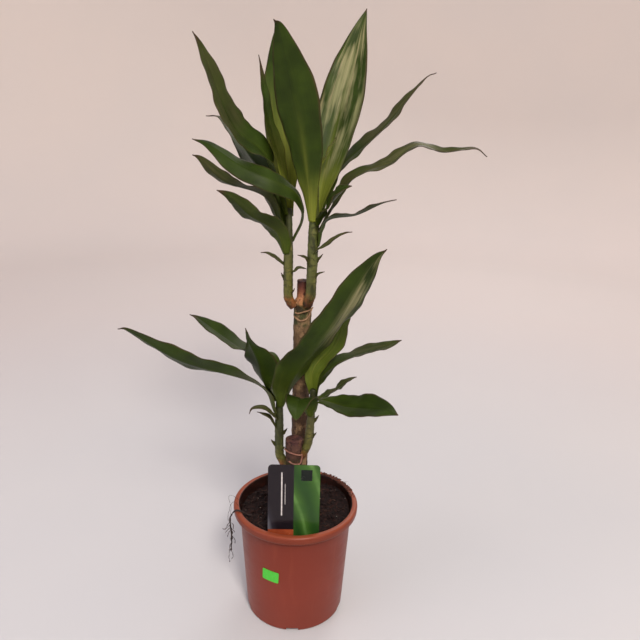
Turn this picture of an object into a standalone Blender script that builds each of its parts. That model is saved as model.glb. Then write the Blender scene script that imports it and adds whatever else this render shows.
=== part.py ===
"""Potted dracaena: two canes with four leafy shoots, standing in a nursery pot.

Metres, +Z up. The origin is on the ground, on the pot's axis. +X is the right of the plant
as it is seen from the front, and -Y is the front.

Headings are seen from above: 0 is right, 90 is back, 180 is left and 270 is front.
"""

from math import atan2, cos, degrees, exp, pi, radians, sin

import bmesh
import bpy
from mathutils import Matrix, Vector

# Driving dimensions of the pot: a nursery pot of 13 cm
RIM_RADIUS = 0.065
POT_HEIGHT = 0.1227
POT_BASE_RADIUS = 0.0513
WALL = 0.0014
LIP_WIDTH = 0.0062
LIP_HEIGHT = 0.0088
WALL_TOP_RADIUS = 0.0585
FLOOR_HEIGHT = 0.004
FLOOR_THICKNESS = 0.0018
FOOT_RING_WIDTH = 0.0035
NOTCHES = 5
NOTCH_WIDTH = 0.0125
NOTCH_HEIGHT = 0.0036
POT_STEPS = 50

# The peat fills the pot to just below its lip
SOIL_LEVEL = 0.1125
SOIL_LUMP = 0.0010
SOIL_HEAP = {"heading": 32, "spread": 26, "height": 0.0050}
SOIL_RINGS = 8

# What touches keeps this gap
GAP = 0.0003
MM = 0.001

# The canes are bare woody cuttings that stand in the peat
TALL_CANE = {"foot": (0.002, 0.012, 0.062), "top": (0.0040, 0.0100, 0.3595), "radius": 0.0088}
SHORT_CANE = {"foot": (-0.001, -0.0115, 0.066), "top": (-0.0022, -0.0120, 0.2015), "radius": 0.0088}
TALL_CANE_NECK_RADIUS = 0.0056
TALL_CANE_NECK_LENGTH = 0.0190
CANE_SIDES = 20
CANE_PLAIN_ABOVE_SOIL = 0.006
RING_SPACING = 0.0125
RING_DEPTH = 0.00035

# Leaves and dry bracts
BLADE_THICKNESS = 0.0008
LEAF_FOOT_WIDTH = 0.0090
LEAF_WIDEST = 0.55
LEAF_NECK = 1.4
LEAF_POINT = 1.7
LEAF_TIP_WIDTH = 0.0007
LEAF_FOLD = 13
LEAF_CURL_END = 0.22
LEAF_STEP = 0.0085
LEAF_STEPS_LEAST = 10
BRACT_ROLL = 45

# Thin aerial roots lie round both canes, as pairs of heading and height in millimetres, and one
# dark root hangs over the rim, as points in millimetres
ROOT_RADIUS = 0.0008
ROOT_HUG = 0.0005
ROOTS_TALL = [
    [(224, 329), (245, 328.5), (270, 330), (290, 331), (307, 331.5), (330, 332.5), (350, 333)],
    [(216, 325), (240, 323), (262, 321.5), (285, 322.5), (305, 325), (322, 329.5), (332, 332.5)]]
ROOTS_SHORT = [
    [(200, 192), (235, 191.5), (270, 190), (300, 188), (325, 187)],
    [(323, 188), (322, 183), (312, 178.5), (290, 178), (265, 179), (240, 181)]]
STRAY_ROOT_RADIUS = 0.0008
STRAY_ROOT = [(-44, -19, 115.6), (-50, -21, 119), (-57, -23, 124), (-62, -24, 123.5), (-66, -25, 116),
              (-66, -25, 107), (-65, -24, 100), (-65, -24, 90), (-66, -24, 76)]

# The printed label and the price sticker
LABEL_WIDTH = 0.0505
LABEL_HEIGHT = 0.094
LABEL_THICKNESS = 0.0007
LABEL_CORNER = 0.004
LABEL_FOOT = (-0.0003, -0.0490, 0.0960)
LABEL_LEAN = 4.0
LABEL_TURN = 0.5
STICKER_WIDTH = 0.0180
STICKER_HEIGHT = 0.0130
STICKER_THICKNESS = 0.0003
STICKER_HEADING = 246.0
STICKER_MIDDLE_HEIGHT = 0.068
STICKER_TILT = -4.0
STICKER_WAVE = 0.0004

for stale in list(bpy.data.objects):
    bpy.data.objects.remove(stale, do_unlink=True)

plant = bpy.data.collections.new("potted_dracaena")
cutters = bpy.data.collections.new("cutters")
bpy.context.scene.collection.children.link(plant)
bpy.context.scene.collection.children.link(cutters)


def material(name, colour, roughness, metallic=0.0):
    made = bpy.data.materials.new(name)
    made.use_nodes = True
    shader = made.node_tree.nodes["Principled BSDF"]
    shader.inputs["Base Color"].default_value = (*colour, 1.0)
    shader.inputs["Roughness"].default_value = roughness
    shader.inputs["Metallic"].default_value = metallic
    return made


TERRACOTTA = material("terracotta_plastic", (0.245, 0.045, 0.026), 0.42)
PEAT = material("peat", (0.018, 0.010, 0.007), 0.95)
BARK = material("bark", (0.150, 0.075, 0.040), 0.80)
SHOOT = material("shoot", (0.100, 0.120, 0.025), 0.50)
LEAF_GREEN = material("leaf_green", (0.030, 0.062, 0.014), 0.38)
YOUNG_GREEN = material("young_green", (0.110, 0.160, 0.022), 0.40)
ROOT = material("root", (0.420, 0.240, 0.110), 0.75)
DARK_ROOT = material("dark_root", (0.045, 0.025, 0.018), 0.80)
LABEL_CARD = material("label_card", (0.035, 0.120, 0.035), 0.20)
NEON_PAPER = material("neon_paper", (0.060, 0.700, 0.080), 0.60)


def add_object(name, mesh, finish, collection=plant):
    thing = bpy.data.objects.new(name, mesh)
    collection.objects.link(thing)
    if finish:
        mesh.materials.clear()
        mesh.materials.append(finish)
    return thing


def as_cutter(thing):
    """Moves an object to the cutters, which are not built."""
    for owner in list(thing.users_collection):
        owner.objects.unlink(thing)
    cutters.objects.link(thing)
    thing.hide_render = True
    thing.display_type = "WIRE"
    return thing


def boolean(thing, operand, operation, solver="EXACT"):
    step = thing.modifiers.new(operation.lower(), "BOOLEAN")
    step.operation = operation
    step.solver = solver
    step.object = operand
    return step


def bake(thing):
    """Applies an object's modifiers and placing, and welds its seams."""
    bpy.context.view_layer.update()
    graph = bpy.context.evaluated_depsgraph_get()
    mesh = bpy.data.meshes.new_from_object(thing.evaluated_get(graph))
    mesh.transform(thing.matrix_world)
    work = bmesh.new()
    work.from_mesh(mesh)
    bmesh.ops.remove_doubles(work, verts=work.verts, dist=0.000002)
    work.to_mesh(mesh)
    work.free()
    finish = thing.data.materials[0] if thing.data.materials else None
    name = thing.name
    owner = thing.users_collection[0]
    bpy.data.objects.remove(thing, do_unlink=True)
    return add_object(name, mesh, finish, owner)


def fuse(base, others):
    """Joins loose solids to a base in one Boolean union."""
    loose = bpy.data.collections.new(base.name + "_loose")
    bpy.context.scene.collection.children.link(loose)
    for other in others:
        for owner in list(other.users_collection):
            owner.objects.unlink(other)
        loose.objects.link(other)
    step = base.modifiers.new("union", "BOOLEAN")
    step.operation = "UNION"
    step.solver = "EXACT"
    step.operand_type = "COLLECTION"
    step.collection = loose
    joined = bake(base)
    for other in list(loose.objects):
        bpy.data.objects.remove(other, do_unlink=True)
    bpy.data.collections.remove(loose)
    return joined


def turned(name, profile, steps, finish, collection=plant):
    """A profile of radius and height pairs, from the top down, turned about Z."""
    mesh = bpy.data.meshes.new(name)
    corners = [(radius, 0.0, height) for radius, height in profile]
    mesh.from_pydata(corners, [(i, i + 1) for i in range(len(corners) - 1)], [])
    thing = add_object(name, mesh, finish, collection)
    screw = thing.modifiers.new("turn", "SCREW")
    screw.axis = "Z"
    screw.steps = steps
    screw.render_steps = steps
    screw.use_merge_vertices = True
    screw.merge_threshold = 0.00002
    screw.use_smooth_shade = True
    return thing


def round_edges(thing, angle=40):
    thing.data.shade_smooth()
    thing.data.set_sharp_from_angle(angle=radians(angle))


def tube(name, points, radii, finish, sides_step=3, cyclic=False, collection=plant):
    """A tube through points, as a mesh with closed ends."""
    curve = bpy.data.curves.new(name, "CURVE")
    curve.dimensions = "3D"
    curve.bevel_depth = 1.0
    curve.bevel_resolution = sides_step
    curve.use_fill_caps = True
    spline = curve.splines.new("POLY")
    spline.points.add(len(points) - 1)
    for knot, place, radius in zip(spline.points, points, radii):
        knot.co = (*place, 1.0)
        knot.radius = radius
    spline.use_cyclic_u = cyclic
    thing = add_object(name, curve, finish, collection)
    return bake(thing)


def smooth_path(knots, spacing):
    """Points along a smooth curve through a few knots."""
    knots = [Vector(k) for k in knots]
    ends = [2 * knots[0] - knots[1]] + knots + [2 * knots[-1] - knots[-2]]
    path = []
    for before, start, end, after in zip(ends, ends[1:], ends[2:], ends[3:]):
        count = max(2, round((end - start).length / spacing))
        for i in range(count):
            t = i / count
            place = 2 * start + (end - before) * t
            place += (2 * before - 5 * start + 4 * end - after) * t * t
            place += (3 * start - before - 3 * end + after) * t ** 3
            path.append(place * 0.5)
    path.append(knots[-1])
    return path


def wall_radius(height):
    """Outer radius of the pot's wall."""
    share = height / (POT_HEIGHT - LIP_HEIGHT)
    return POT_BASE_RADIUS + (WALL_TOP_RADIUS - POT_BASE_RADIUS) * share


def arc(centre, radius, start, end, count):
    """Points on an arc in the radius and height plane, angles in degrees."""
    angles = [radians(start + (end - start) * i / count) for i in range(count + 1)]
    return [(centre[0] + radius * cos(a), centre[1] + radius * sin(a)) for a in angles]


def make_pot():
    """A thin tapered wall, a rolled lip, a raised floor and a notched foot ring."""
    lip_inner = RIM_RADIUS - LIP_WIDTH
    lip_round = 0.0026
    lip_bottom = POT_HEIGHT - LIP_HEIGHT
    edge_round = 0.0025
    profile = [(0.0, FLOOR_HEIGHT + FLOOR_THICKNESS)]
    profile += [(POT_BASE_RADIUS - WALL - 0.003, FLOOR_HEIGHT + FLOOR_THICKNESS)]
    profile += [(wall_radius(0.009) - WALL, 0.009)]
    profile += [(WALL_TOP_RADIUS - WALL, lip_bottom)]
    profile += [(lip_inner, POT_HEIGHT - 0.0016)]
    profile += arc((RIM_RADIUS - lip_round, POT_HEIGHT - lip_round), lip_round, 90, 0, 4)
    profile += [(RIM_RADIUS - 0.0004, lip_bottom + 0.0010)]
    profile += [(RIM_RADIUS - 0.0012, lip_bottom)]
    profile += [(WALL_TOP_RADIUS, lip_bottom)]
    profile += [(wall_radius(0.060), 0.060)]
    profile += arc((POT_BASE_RADIUS - edge_round, edge_round), edge_round, 5, -90, 4)
    profile += [(POT_BASE_RADIUS - FOOT_RING_WIDTH - 0.001, 0.0)]
    profile += [(POT_BASE_RADIUS - FOOT_RING_WIDTH - 0.002, FLOOR_HEIGHT)]
    profile += [(0.0, FLOOR_HEIGHT)]
    pot = turned("pot", profile, POT_STEPS, TERRACOTTA)
    for i in range(NOTCHES):
        heading = radians(270 + i * 360 / NOTCHES)
        bpy.ops.mesh.primitive_cube_add(size=1.0)
        block = as_cutter(bpy.context.object)
        block.name = "notch_cutter_" + str(i + 1)
        block.scale = (0.010, NOTCH_WIDTH, NOTCH_HEIGHT * 2)
        reach = POT_BASE_RADIUS - 0.001
        block.location = (reach * cos(heading), reach * sin(heading), 0.0)
        block.rotation_euler = (0.0, 0.0, heading)
        boolean(pot, block, "DIFFERENCE")
    pot = bake(pot)
    round_edges(pot, 35)
    return pot


def cane_place(cane, height):
    foot, top = Vector(cane["foot"]), Vector(cane["top"])
    return foot.lerp(top, (height - foot.z) / (top.z - foot.z))


def cane_placing(cane):
    """Stands a turned shape, made from height 0, on the cane's foot along its axis."""
    foot, top = Vector(cane["foot"]), Vector(cane["top"])
    turn = (top - foot).to_track_quat("Z", "Y").to_matrix().to_4x4()
    return Matrix.Translation(foot) @ turn


def ring_swell(height):
    """The old leaf scars stand out as low rings round a cane."""
    return RING_DEPTH * (0.5 + 0.5 * cos(2 * pi * height / RING_SPACING)) ** 4


def make_cane(name, cane, neck_length=0.0, neck_radius=0.0):
    """A woody cutting, ringed above the peat, plain below it, with a sawn top."""
    length = (Vector(cane["top"]) - Vector(cane["foot"])).length
    bare_from = SOIL_LEVEL + CANE_PLAIN_ABOVE_SOIL - cane["foot"][2]
    radius = cane["radius"]
    profile = [(0.0, length)]
    body_top = length
    if neck_length:
        profile += [(neck_radius - 0.0006, length), (neck_radius, length - 0.0010)]
        profile += [(neck_radius + 0.0003, length - neck_length + 0.003)]
        body_top = length - neck_length - 0.004
        profile += [(radius + 0.0008, body_top)]
    else:
        profile += [(radius - 0.0006, length), (radius, length - 0.0008)]
    rings = 2 * round((body_top - bare_from) / RING_SPACING)
    for i in range(1, rings):
        height = body_top + (bare_from - body_top) * i / rings
        profile += [(radius - 0.0003 + ring_swell(height), height)]
    profile += [(radius - 0.0003, bare_from), (radius - 0.0003, 0.0), (0.0, 0.0)]
    thing = turned(name, profile, CANE_SIDES, BARK)
    thing.matrix_world = cane_placing(cane)
    return bake(thing)


def soil_lift(x, y, edge):
    """Low lumps that fade out at the wall, and a heap against it at the back right."""
    lumps = sin(x * 310 + 1.1) * sin(y * 270 + 0.4) + 0.6 * sin(x * 620 - y * 540)
    outward = min(1.0, Vector((x, y)).length / edge)
    turn = (degrees(atan2(y, x)) - SOIL_HEAP["heading"]) / SOIL_HEAP["spread"]
    heap = SOIL_HEAP["height"] * exp(-turn * turn) * outward ** 3
    return SOIL_LUMP * lumps * (1 - 0.6 * outward ** 8) + heap


def make_soil():
    """Peat that fills the pot, with plain holes for the canes and a slot for the label."""
    top_edge = WALL_TOP_RADIUS - WALL - GAP - 0.0004
    bottom = FLOOR_HEIGHT + FLOOR_THICKNESS + GAP
    bottom_edge = POT_BASE_RADIUS - WALL - 0.003 - GAP
    shoulder = wall_radius(0.009) - WALL - GAP
    profile = [(top_edge * i / SOIL_RINGS, SOIL_LEVEL) for i in range(SOIL_RINGS + 1)]
    profile += [(shoulder, 0.009 + GAP), (bottom_edge, bottom), (0.0, bottom)]
    soil = bake(turned("soil", profile, 44, PEAT))
    for corner in soil.data.vertices:
        if corner.co.z > SOIL_LEVEL - 0.001:
            corner.co.z += soil_lift(corner.co.x, corner.co.y, top_edge)
    for label, cane in (("tall", TALL_CANE), ("short", SHORT_CANE)):
        depth = SOIL_LEVEL - cane["foot"][2]
        bpy.ops.mesh.primitive_cylinder_add(vertices=24, radius=cane["radius"], depth=depth + 0.03)
        hole = as_cutter(bpy.context.object)
        hole.name = "hole_cutter_" + label
        hole.matrix_world = cane_placing(cane) @ Matrix.Translation((0, 0, depth / 2 + 0.015 - GAP))
        boolean(soil, hole, "DIFFERENCE")
    slot = label_blank("slot_cutter", GAP)
    boolean(soil, as_cutter(slot), "DIFFERENCE")
    return bake(soil)


def label_blank(name, grow):
    """The label's card: a flat outline with a pointed foot, made thick and stood in place."""
    half = LABEL_WIDTH / 2 + grow
    top = LABEL_HEIGHT + grow
    corner = LABEL_CORNER + grow
    outline = [(0.0, -grow), (half * 0.72, 0.016 - grow), (half, 0.021)]
    outline += [(half - corner + p, top - corner + q) for p, q in arc((0, 0), corner, 0, 90, 4)]
    outline += [(-x, z) for x, z in reversed(outline[1:])]
    mesh = bpy.data.meshes.new(name)
    mesh.from_pydata([(x, 0.0, z) for x, z in outline], [], [tuple(range(len(outline)))])
    card = add_object(name, mesh, LABEL_CARD)
    thick = card.modifiers.new("thickness", "SOLIDIFY")
    thick.thickness = LABEL_THICKNESS + 2 * grow
    thick.offset = 0.0
    card.location = LABEL_FOOT
    card.rotation_euler = (radians(-LABEL_LEAN), 0.0, radians(LABEL_TURN))
    return bake(card)


def make_sticker():
    """A small paper price sticker bent round the pot's wall, tilted, with waved short ends."""
    across, up = 8, 4
    work = bmesh.new()
    bmesh.ops.create_grid(work, x_segments=across, y_segments=up, size=0.5)
    tilt = radians(STICKER_TILT)
    for corner in work.verts:
        along = corner.co.x * STICKER_WIDTH
        rise = corner.co.y * STICKER_HEIGHT
        if abs(corner.co.x) > 0.49:
            wave = STICKER_WAVE if round((corner.co.y + 0.5) * up) % 2 else -STICKER_WAVE / 2
            along += wave if along > 0 else -wave
        side = along * cos(tilt) - rise * sin(tilt)
        height = STICKER_MIDDLE_HEIGHT + along * sin(tilt) + rise * cos(tilt)
        radius = wall_radius(height) + GAP + STICKER_THICKNESS / 2
        heading = radians(STICKER_HEADING) + side / radius
        corner.co = (radius * cos(heading), radius * sin(heading), height)
    bmesh.ops.triangulate(work, faces=work.faces)
    mesh = bpy.data.meshes.new("price_sticker")
    work.to_mesh(mesh)
    work.free()
    sticker = add_object("price_sticker", mesh, NEON_PAPER)
    thick = sticker.modifiers.new("thickness", "SOLIDIFY")
    thick.thickness = STICKER_THICKNESS
    thick.offset = 0.0
    return sticker


# The four shoots. Each leaves its cane at its foot, turns up, and carries its leaves above. The
# saddle is how far the foot stands off the cane's side, where it is hollowed to fit round it.
SHOOT_TIP_LENGTH = 0.045
SADDLE_REACH = 0.030
SHOOTS = {
    "upper_left": {
        "cane": TALL_CANE, "saddle": 0.0013, "radius": 0.0046, "tip_radius": 0.0028,
        "knots": [(-0.0045, 0.0065, 0.334), (-0.0085, 0.0060, 0.340), (-0.0102, 0.0058, 0.352),
                  (-0.0100, 0.0060, 0.428)]},
    "upper_right": {
        "cane": TALL_CANE, "saddle": 0.0013, "radius": 0.0050, "tip_radius": 0.0028,
        "knots": [(0.0088, 0.0020, 0.338), (0.0106, -0.0012, 0.346), (0.0118, -0.0020, 0.356),
                  (0.0142, -0.0020, 0.452)]},
    "lower_left": {
        "cane": SHORT_CANE, "saddle": 0.0005, "radius": 0.0044, "tip_radius": 0.0028,
        "knots": [(-0.0090, -0.0125, 0.170), (-0.0145, -0.0130, 0.180), (-0.0168, -0.0132, 0.192),
                  (-0.0168, -0.0130, 0.262)]},
    "lower_right": {
        "cane": SHORT_CANE, "saddle": 0.0005, "radius": 0.0044, "tip_radius": 0.0028,
        "knots": [(0.0045, -0.0125, 0.182), (0.0098, -0.0130, 0.192), (0.0130, -0.0132, 0.206),
                  (0.0160, -0.0130, 0.256)]},
}


def shoot_place(shoot, height):
    """The shoot's axis at a height, on its straight stretch."""
    low, high = Vector(shoot["knots"][-2]), Vector(shoot["knots"][-1])
    return low.lerp(high, (height - low.z) / (high.z - low.z))


def shoot_radius(shoot, height):
    """A shoot keeps its thickness and draws in over its last stretch."""
    share = min(1.0, max(0.0, (shoot["knots"][-1][2] - height) / SHOOT_TIP_LENGTH))
    return shoot["tip_radius"] + (shoot["radius"] - shoot["tip_radius"]) * share


def ease(t):
    """A smooth step from 0 to 1."""
    t = min(1.0, max(0.0, t))
    return t * t * (3 - 2 * t)


def through(first, middle, last, u, bend):
    """Eases from the first value to the middle one at the bend, and on to the last."""
    if u < bend:
        return first + (middle - first) * ease(u / bend)
    return middle + (last - middle) * ease((u - bend) / (1 - bend))


def leaf_width(u, leaf, foot_width):
    """Narrow at the foot, widest past the middle, then drawn to a point."""
    widest = leaf.get("widest", LEAF_WIDEST)
    share = sin(pi / 2 * min(1.0, u / widest)) ** leaf.get("neck", LEAF_NECK)
    grown = foot_width + (leaf["width"] - foot_width) * share
    past = max(0.0, (u - widest) / (1 - widest))
    return max(LEAF_TIP_WIDTH, grown * (1 - past ** LEAF_POINT))


def even_path(knots, count):
    """Evenly spaced places along a smooth curve through the knots."""
    fine = smooth_path(knots, 0.001)
    travelled = [0.0]
    for before, after in zip(fine, fine[1:]):
        travelled.append(travelled[-1] + (after - before).length)
    places = []
    at = 0
    for i in range(count + 1):
        wanted = travelled[-1] * i / count
        while at < len(fine) - 2 and travelled[at + 1] < wanted:
            at += 1
        share = (wanted - travelled[at]) / (travelled[at + 1] - travelled[at])
        places.append(fine[at].lerp(fine[at + 1], share))
    return places


def leaf_frames(foot, leaf, count):
    """Places and directions along a leaf's midrib, from its foot to its tip."""
    places = even_path([foot] + [Vector(k) * MM for k in leaf["way"]], count)
    heading = radians(leaf["heading"])
    across = Vector((-sin(heading), cos(heading), 0.0))
    frames = []
    for i, place in enumerate(places):
        u = i / count
        along = (places[min(i + 1, count)] - places[max(i - 1, 0)]).normalized()
        side = (across - along * along.dot(across)).normalized()
        up = along.cross(side)
        roll = radians(through(0.0, *leaf.get("roll", (0, 0)), u, 0.5))
        level = cos(roll) * side + sin(roll) * up
        frames.append((u, place, level, cos(roll) * up - sin(roll) * side))
    return frames


def blade_object(name, foot, leaf, clasp, steps, finish, foot_width=LEAF_FOOT_WIDTH, across=4):
    """A thin waved blade, bent round its stem at the foot and folded along its midrib."""
    work = bmesh.new()
    bmesh.ops.create_grid(work, x_segments=steps, y_segments=across, size=0.5)
    frames = leaf_frames(foot, leaf, steps)
    waves, wave_height = leaf.get("waves", (3, 0.0012))
    phase = leaf.get("phase", 0.0)
    for corner in work.verts:
        u, place, side, up = frames[round((corner.co.x + 0.5) * steps)]
        v = corner.co.y * 2
        half = leaf_width(u, leaf, foot_width) / 2
        open_share = min(1.0, u / LEAF_CURL_END)
        curl = (1 - open_share) ** 2 / clasp
        fold = radians(leaf.get("fold", LEAF_FOLD)) * open_share
        reach = v * half * cos(fold)
        lift = abs(v) * half * sin(fold)
        if curl > 1e-6:
            lift += (1 - cos(reach * curl)) / curl
            reach = sin(reach * curl) / curl
        ripple = sin(2 * pi * waves * u + phase + (0.9 if v > 0 else 0.0))
        lift += ripple * wave_height * v * v * open_share * (1 - u ** 6)
        corner.co = place + side * reach + up * lift
    bmesh.ops.triangulate(work, faces=work.faces)
    mesh = bpy.data.meshes.new(name)
    work.to_mesh(mesh)
    work.free()
    blade = add_object(name, mesh, finish)
    thick = blade.modifiers.new("thickness", "SOLIDIFY")
    thick.thickness = BLADE_THICKNESS
    thick.offset = 0.0
    blade.data.shade_smooth()
    return blade


# Every leaf: the height of its foot on its shoot and the way it heads there, the points that its
# midrib passes through from the foot to the tip, in millimetres, its width, the share of its
# length where it is widest, and its roll about the midrib at the middle and at the tip.
LEAVES = {
    "leaf_upper_left_1": {
        "shoot": "upper_left", "foot": 0.422, "heading": 214,
        "way": [(-32, 3, 475), (-59, -9, 501), (-81, -20, 559), (-88, -23, 573)],
        "width": 0.034, "widest": 0.44, "roll": (-53, -72), "waves": (4, 0.0015), "foot_width": 0.0075},
    "leaf_upper_left_2": {
        "shoot": "upper_left", "foot": 0.406, "heading": 134,
        "way": [(-28, 20, 444), (-53, 40, 476), (-77, 55, 504), (-93, 58, 507)],
        "width": 0.030, "widest": 0.50, "roll": (0, 10), "neck": 1.4},
    "leaf_upper_left_3": {
        "shoot": "upper_left", "foot": 0.398, "heading": 8,
        "way": [(3, 2, 420), (-1, -8, 440), (-12, -15, 450), (-28, -20, 457),
                (-52, -17, 467), (-80, -8, 484), (-95, -4, 488)],
        "width": 0.023, "widest": 0.60, "roll": (-55, -40), "neck": 2.4, "foot_width": 0.008},
    "leaf_upper_left_4": {
        "shoot": "upper_left", "foot": 0.400, "heading": 212,
        "way": [(-30, -2, 438), (-66, -12, 453), (-84, -22, 472), (-91, -26, 476)],
        "width": 0.024, "widest": 0.53, "roll": (6, 53), "foot_width": 0.008},
    "leaf_upper_left_5": {
        "shoot": "upper_left", "foot": 0.386, "heading": 232,
        "way": [(-21, -3, 408), (-44, -13, 424), (-59, -24, 441), (-71, -27, 447)],
        "width": 0.028, "widest": 0.37, "roll": (12, 44), "neck": 1.0},
    "leaf_upper_left_6": {
        "shoot": "upper_left", "foot": 0.420, "heading": 68,
        "way": [(-14, 27, 478), (-19, 43, 523), (-26, 68, 569), (-27, 77, 590)],
        "width": 0.038, "widest": 0.51, "roll": (0, 2), "foot_width": 0.0075},
    "leaf_upper_left_7": {
        "shoot": "upper_left", "foot": 0.426, "heading": 145,
        "way": [(-16, 14, 457), (-31, 21, 509), (-36, 24, 544), (-39, 24, 560)],
        "width": 0.016, "widest": 0.45, "roll": (0, 0), "foot_width": 0.005},
    "leaf_upper_right_1": {
        "shoot": "upper_right", "foot": 0.418, "heading": 240,
        "way": [(7, -18, 458), (-1, -37, 510), (-14, -58, 569), (-19, -66, 578)],
        "width": 0.039, "widest": 0.62, "roll": (10, 15), "waves": (3, 0.0015)},
    "leaf_upper_right_2": {
        "shoot": "upper_right", "foot": 0.423, "heading": 66,
        "way": [(23, 18, 464), (36, 43, 520), (50, 72, 580), (58, 81, 607)],
        "width": 0.043, "widest": 0.50, "roll": (10, 20),
        "waves": (3, 0.0015), "neck": 1.0, "foot_width": 0.011},
    "leaf_upper_right_3": {
        "shoot": "upper_right", "foot": 0.413, "heading": 72,
        "way": [(30, 28, 456), (75, 35, 499), (110, 44, 542), (123, 50, 550)],
        "width": 0.030, "widest": 0.40, "roll": (-48, -46), "neck": 1.8,
        "waves": (4, 0.0015), "foot_width": 0.006},
    "leaf_upper_right_4": {
        "shoot": "upper_right", "foot": 0.409, "heading": 14,
        "way": [(41, 3, 449), (58, 2, 463), (80, 1, 471), (103, 0, 487),
                (126, -2, 482), (152, -5, 486), (164, -6, 479)],
        "width": 0.024, "widest": 0.36, "roll": (8, 23), "neck": 2.2,
        "waves": (4, 0.0015), "foot_width": 0.006},
    "leaf_upper_right_5": {
        "shoot": "upper_right", "foot": 0.415, "heading": 316,
        "way": [(24, -14, 431), (31, -22, 441), (38, -30, 450), (45, -35, 454)],
        "width": 0.028, "widest": 0.54, "roll": (42, 25), "neck": 1.3, "foot_width": 0.0055},
    "leaf_upper_right_6": {
        "shoot": "upper_right", "foot": 0.3955, "heading": 343,
        "way": [(25, -10, 420), (51, -15, 427), (72, -20, 438), (85, -23, 442)],
        "width": 0.021, "widest": 0.49, "roll": (-4, -4), "neck": 1.8, "foot_width": 0.006},
    "leaf_upper_right_spear": {
        "shoot": "upper_right", "foot": 0.452, "heading": 350,
        "way": [(16, -2, 462), (22, -2, 474), (28, -1, 486), (31, 0, 492)],
        "width": 0.012, "widest": 0.50, "roll": (0, 0), "young": True},
    "leaf_lower_left_1": {
        "shoot": "lower_left", "foot": 0.230, "heading": 198,
        "way": [(-37, -20, 263), (-107, -28, 288), (-151, -36, 319), (-162, -38, 322)],
        "width": 0.036, "widest": 0.58, "roll": (39, 37), "waves": (3, 0.0015)},
    "leaf_lower_left_2": {
        "shoot": "lower_left", "foot": 0.254, "heading": 125,
        "way": [(-26, -3, 283), (-56, 9, 288), (-97, 20, 313), (-109, 23, 318)],
        "width": 0.028, "widest": 0.59, "roll": (24, 6)},
    "leaf_lower_left_3": {
        "shoot": "lower_left", "foot": 0.243, "heading": 184,
        "way": [(-32, -11, 261), (-36, -16, 283), (-45, -22, 307), (-48, -24, 321)],
        "width": 0.041, "widest": 0.48, "roll": (54, 19)},
    "leaf_lower_left_4": {
        "shoot": "lower_left", "foot": 0.238, "heading": 312,
        "way": [(-1, -36, 280), (33, -56, 335), (62, -76, 396), (73, -82, 410)],
        "width": 0.055, "widest": 0.36, "roll": (2, -42), "neck": 1.15,
        "waves": (4, 0.0015), "foot_width": 0.0105},
    "leaf_lower_right_1": {
        "shoot": "lower_right", "foot": 0.250, "heading": 95,
        "way": [(16, -5, 274), (35, 4, 296), (47, 14, 323), (57, 18, 334)],
        "width": 0.030, "widest": 0.63, "roll": (-49, -59)},
    "leaf_lower_right_2": {
        "shoot": "lower_right", "foot": 0.245, "heading": 25,
        "way": [(22, -8, 262), (32, -7, 275), (50, -5, 286), (81, 2, 295), (101, 4, 303)],
        "width": 0.034, "widest": 0.50, "roll": (-17, 10), "foot_width": 0.007},
    "leaf_lower_right_3": {
        "shoot": "lower_right", "foot": 0.242, "heading": 58,
        "way": [(25, -4, 244), (39, 1, 250), (52, 7, 259), (59, 9, 261)],
        "width": 0.015, "widest": 0.53, "roll": (-36, -11), "foot_width": 0.007},
    "leaf_lower_right_4": {
        "shoot": "lower_right", "foot": 0.233, "heading": 330,
        "way": [(24, -21, 248), (49, -38, 250), (81, -54, 256), (94, -59, 253)],
        "width": 0.034, "widest": 0.61, "roll": (15, 35), "neck": 2.4},
    "leaf_lower_right_5": {
        "shoot": "lower_right", "foot": 0.229, "heading": 250,
        "way": [(8, -28, 249), (5, -40, 258), (2, -51, 254), (1, -57, 243)],
        "width": 0.031, "widest": 0.55, "roll": (5, -5), "neck": 1.6},
}


def make_leaf(name, leaf):
    shoot = SHOOTS[leaf["shoot"]]
    radius = shoot_radius(shoot, leaf["foot"]) + GAP + BLADE_THICKNESS / 2
    heading = radians(leaf["heading"])
    foot = shoot_place(shoot, leaf["foot"])
    if leaf.get("young"):
        foot.z += 2 * GAP
    else:
        foot += Vector((cos(heading), sin(heading), 0)) * radius
    span = (Vector(leaf["way"][-1]) * MM - foot).length
    steps = max(LEAF_STEPS_LEAST, round(span / LEAF_STEP))
    finish = YOUNG_GREEN if leaf.get("young") else LEAF_GREEN
    foot_width = leaf.get("foot_width", LEAF_FOOT_WIDTH)
    return blade_object(name, foot, leaf, radius, steps, finish, foot_width)


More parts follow.
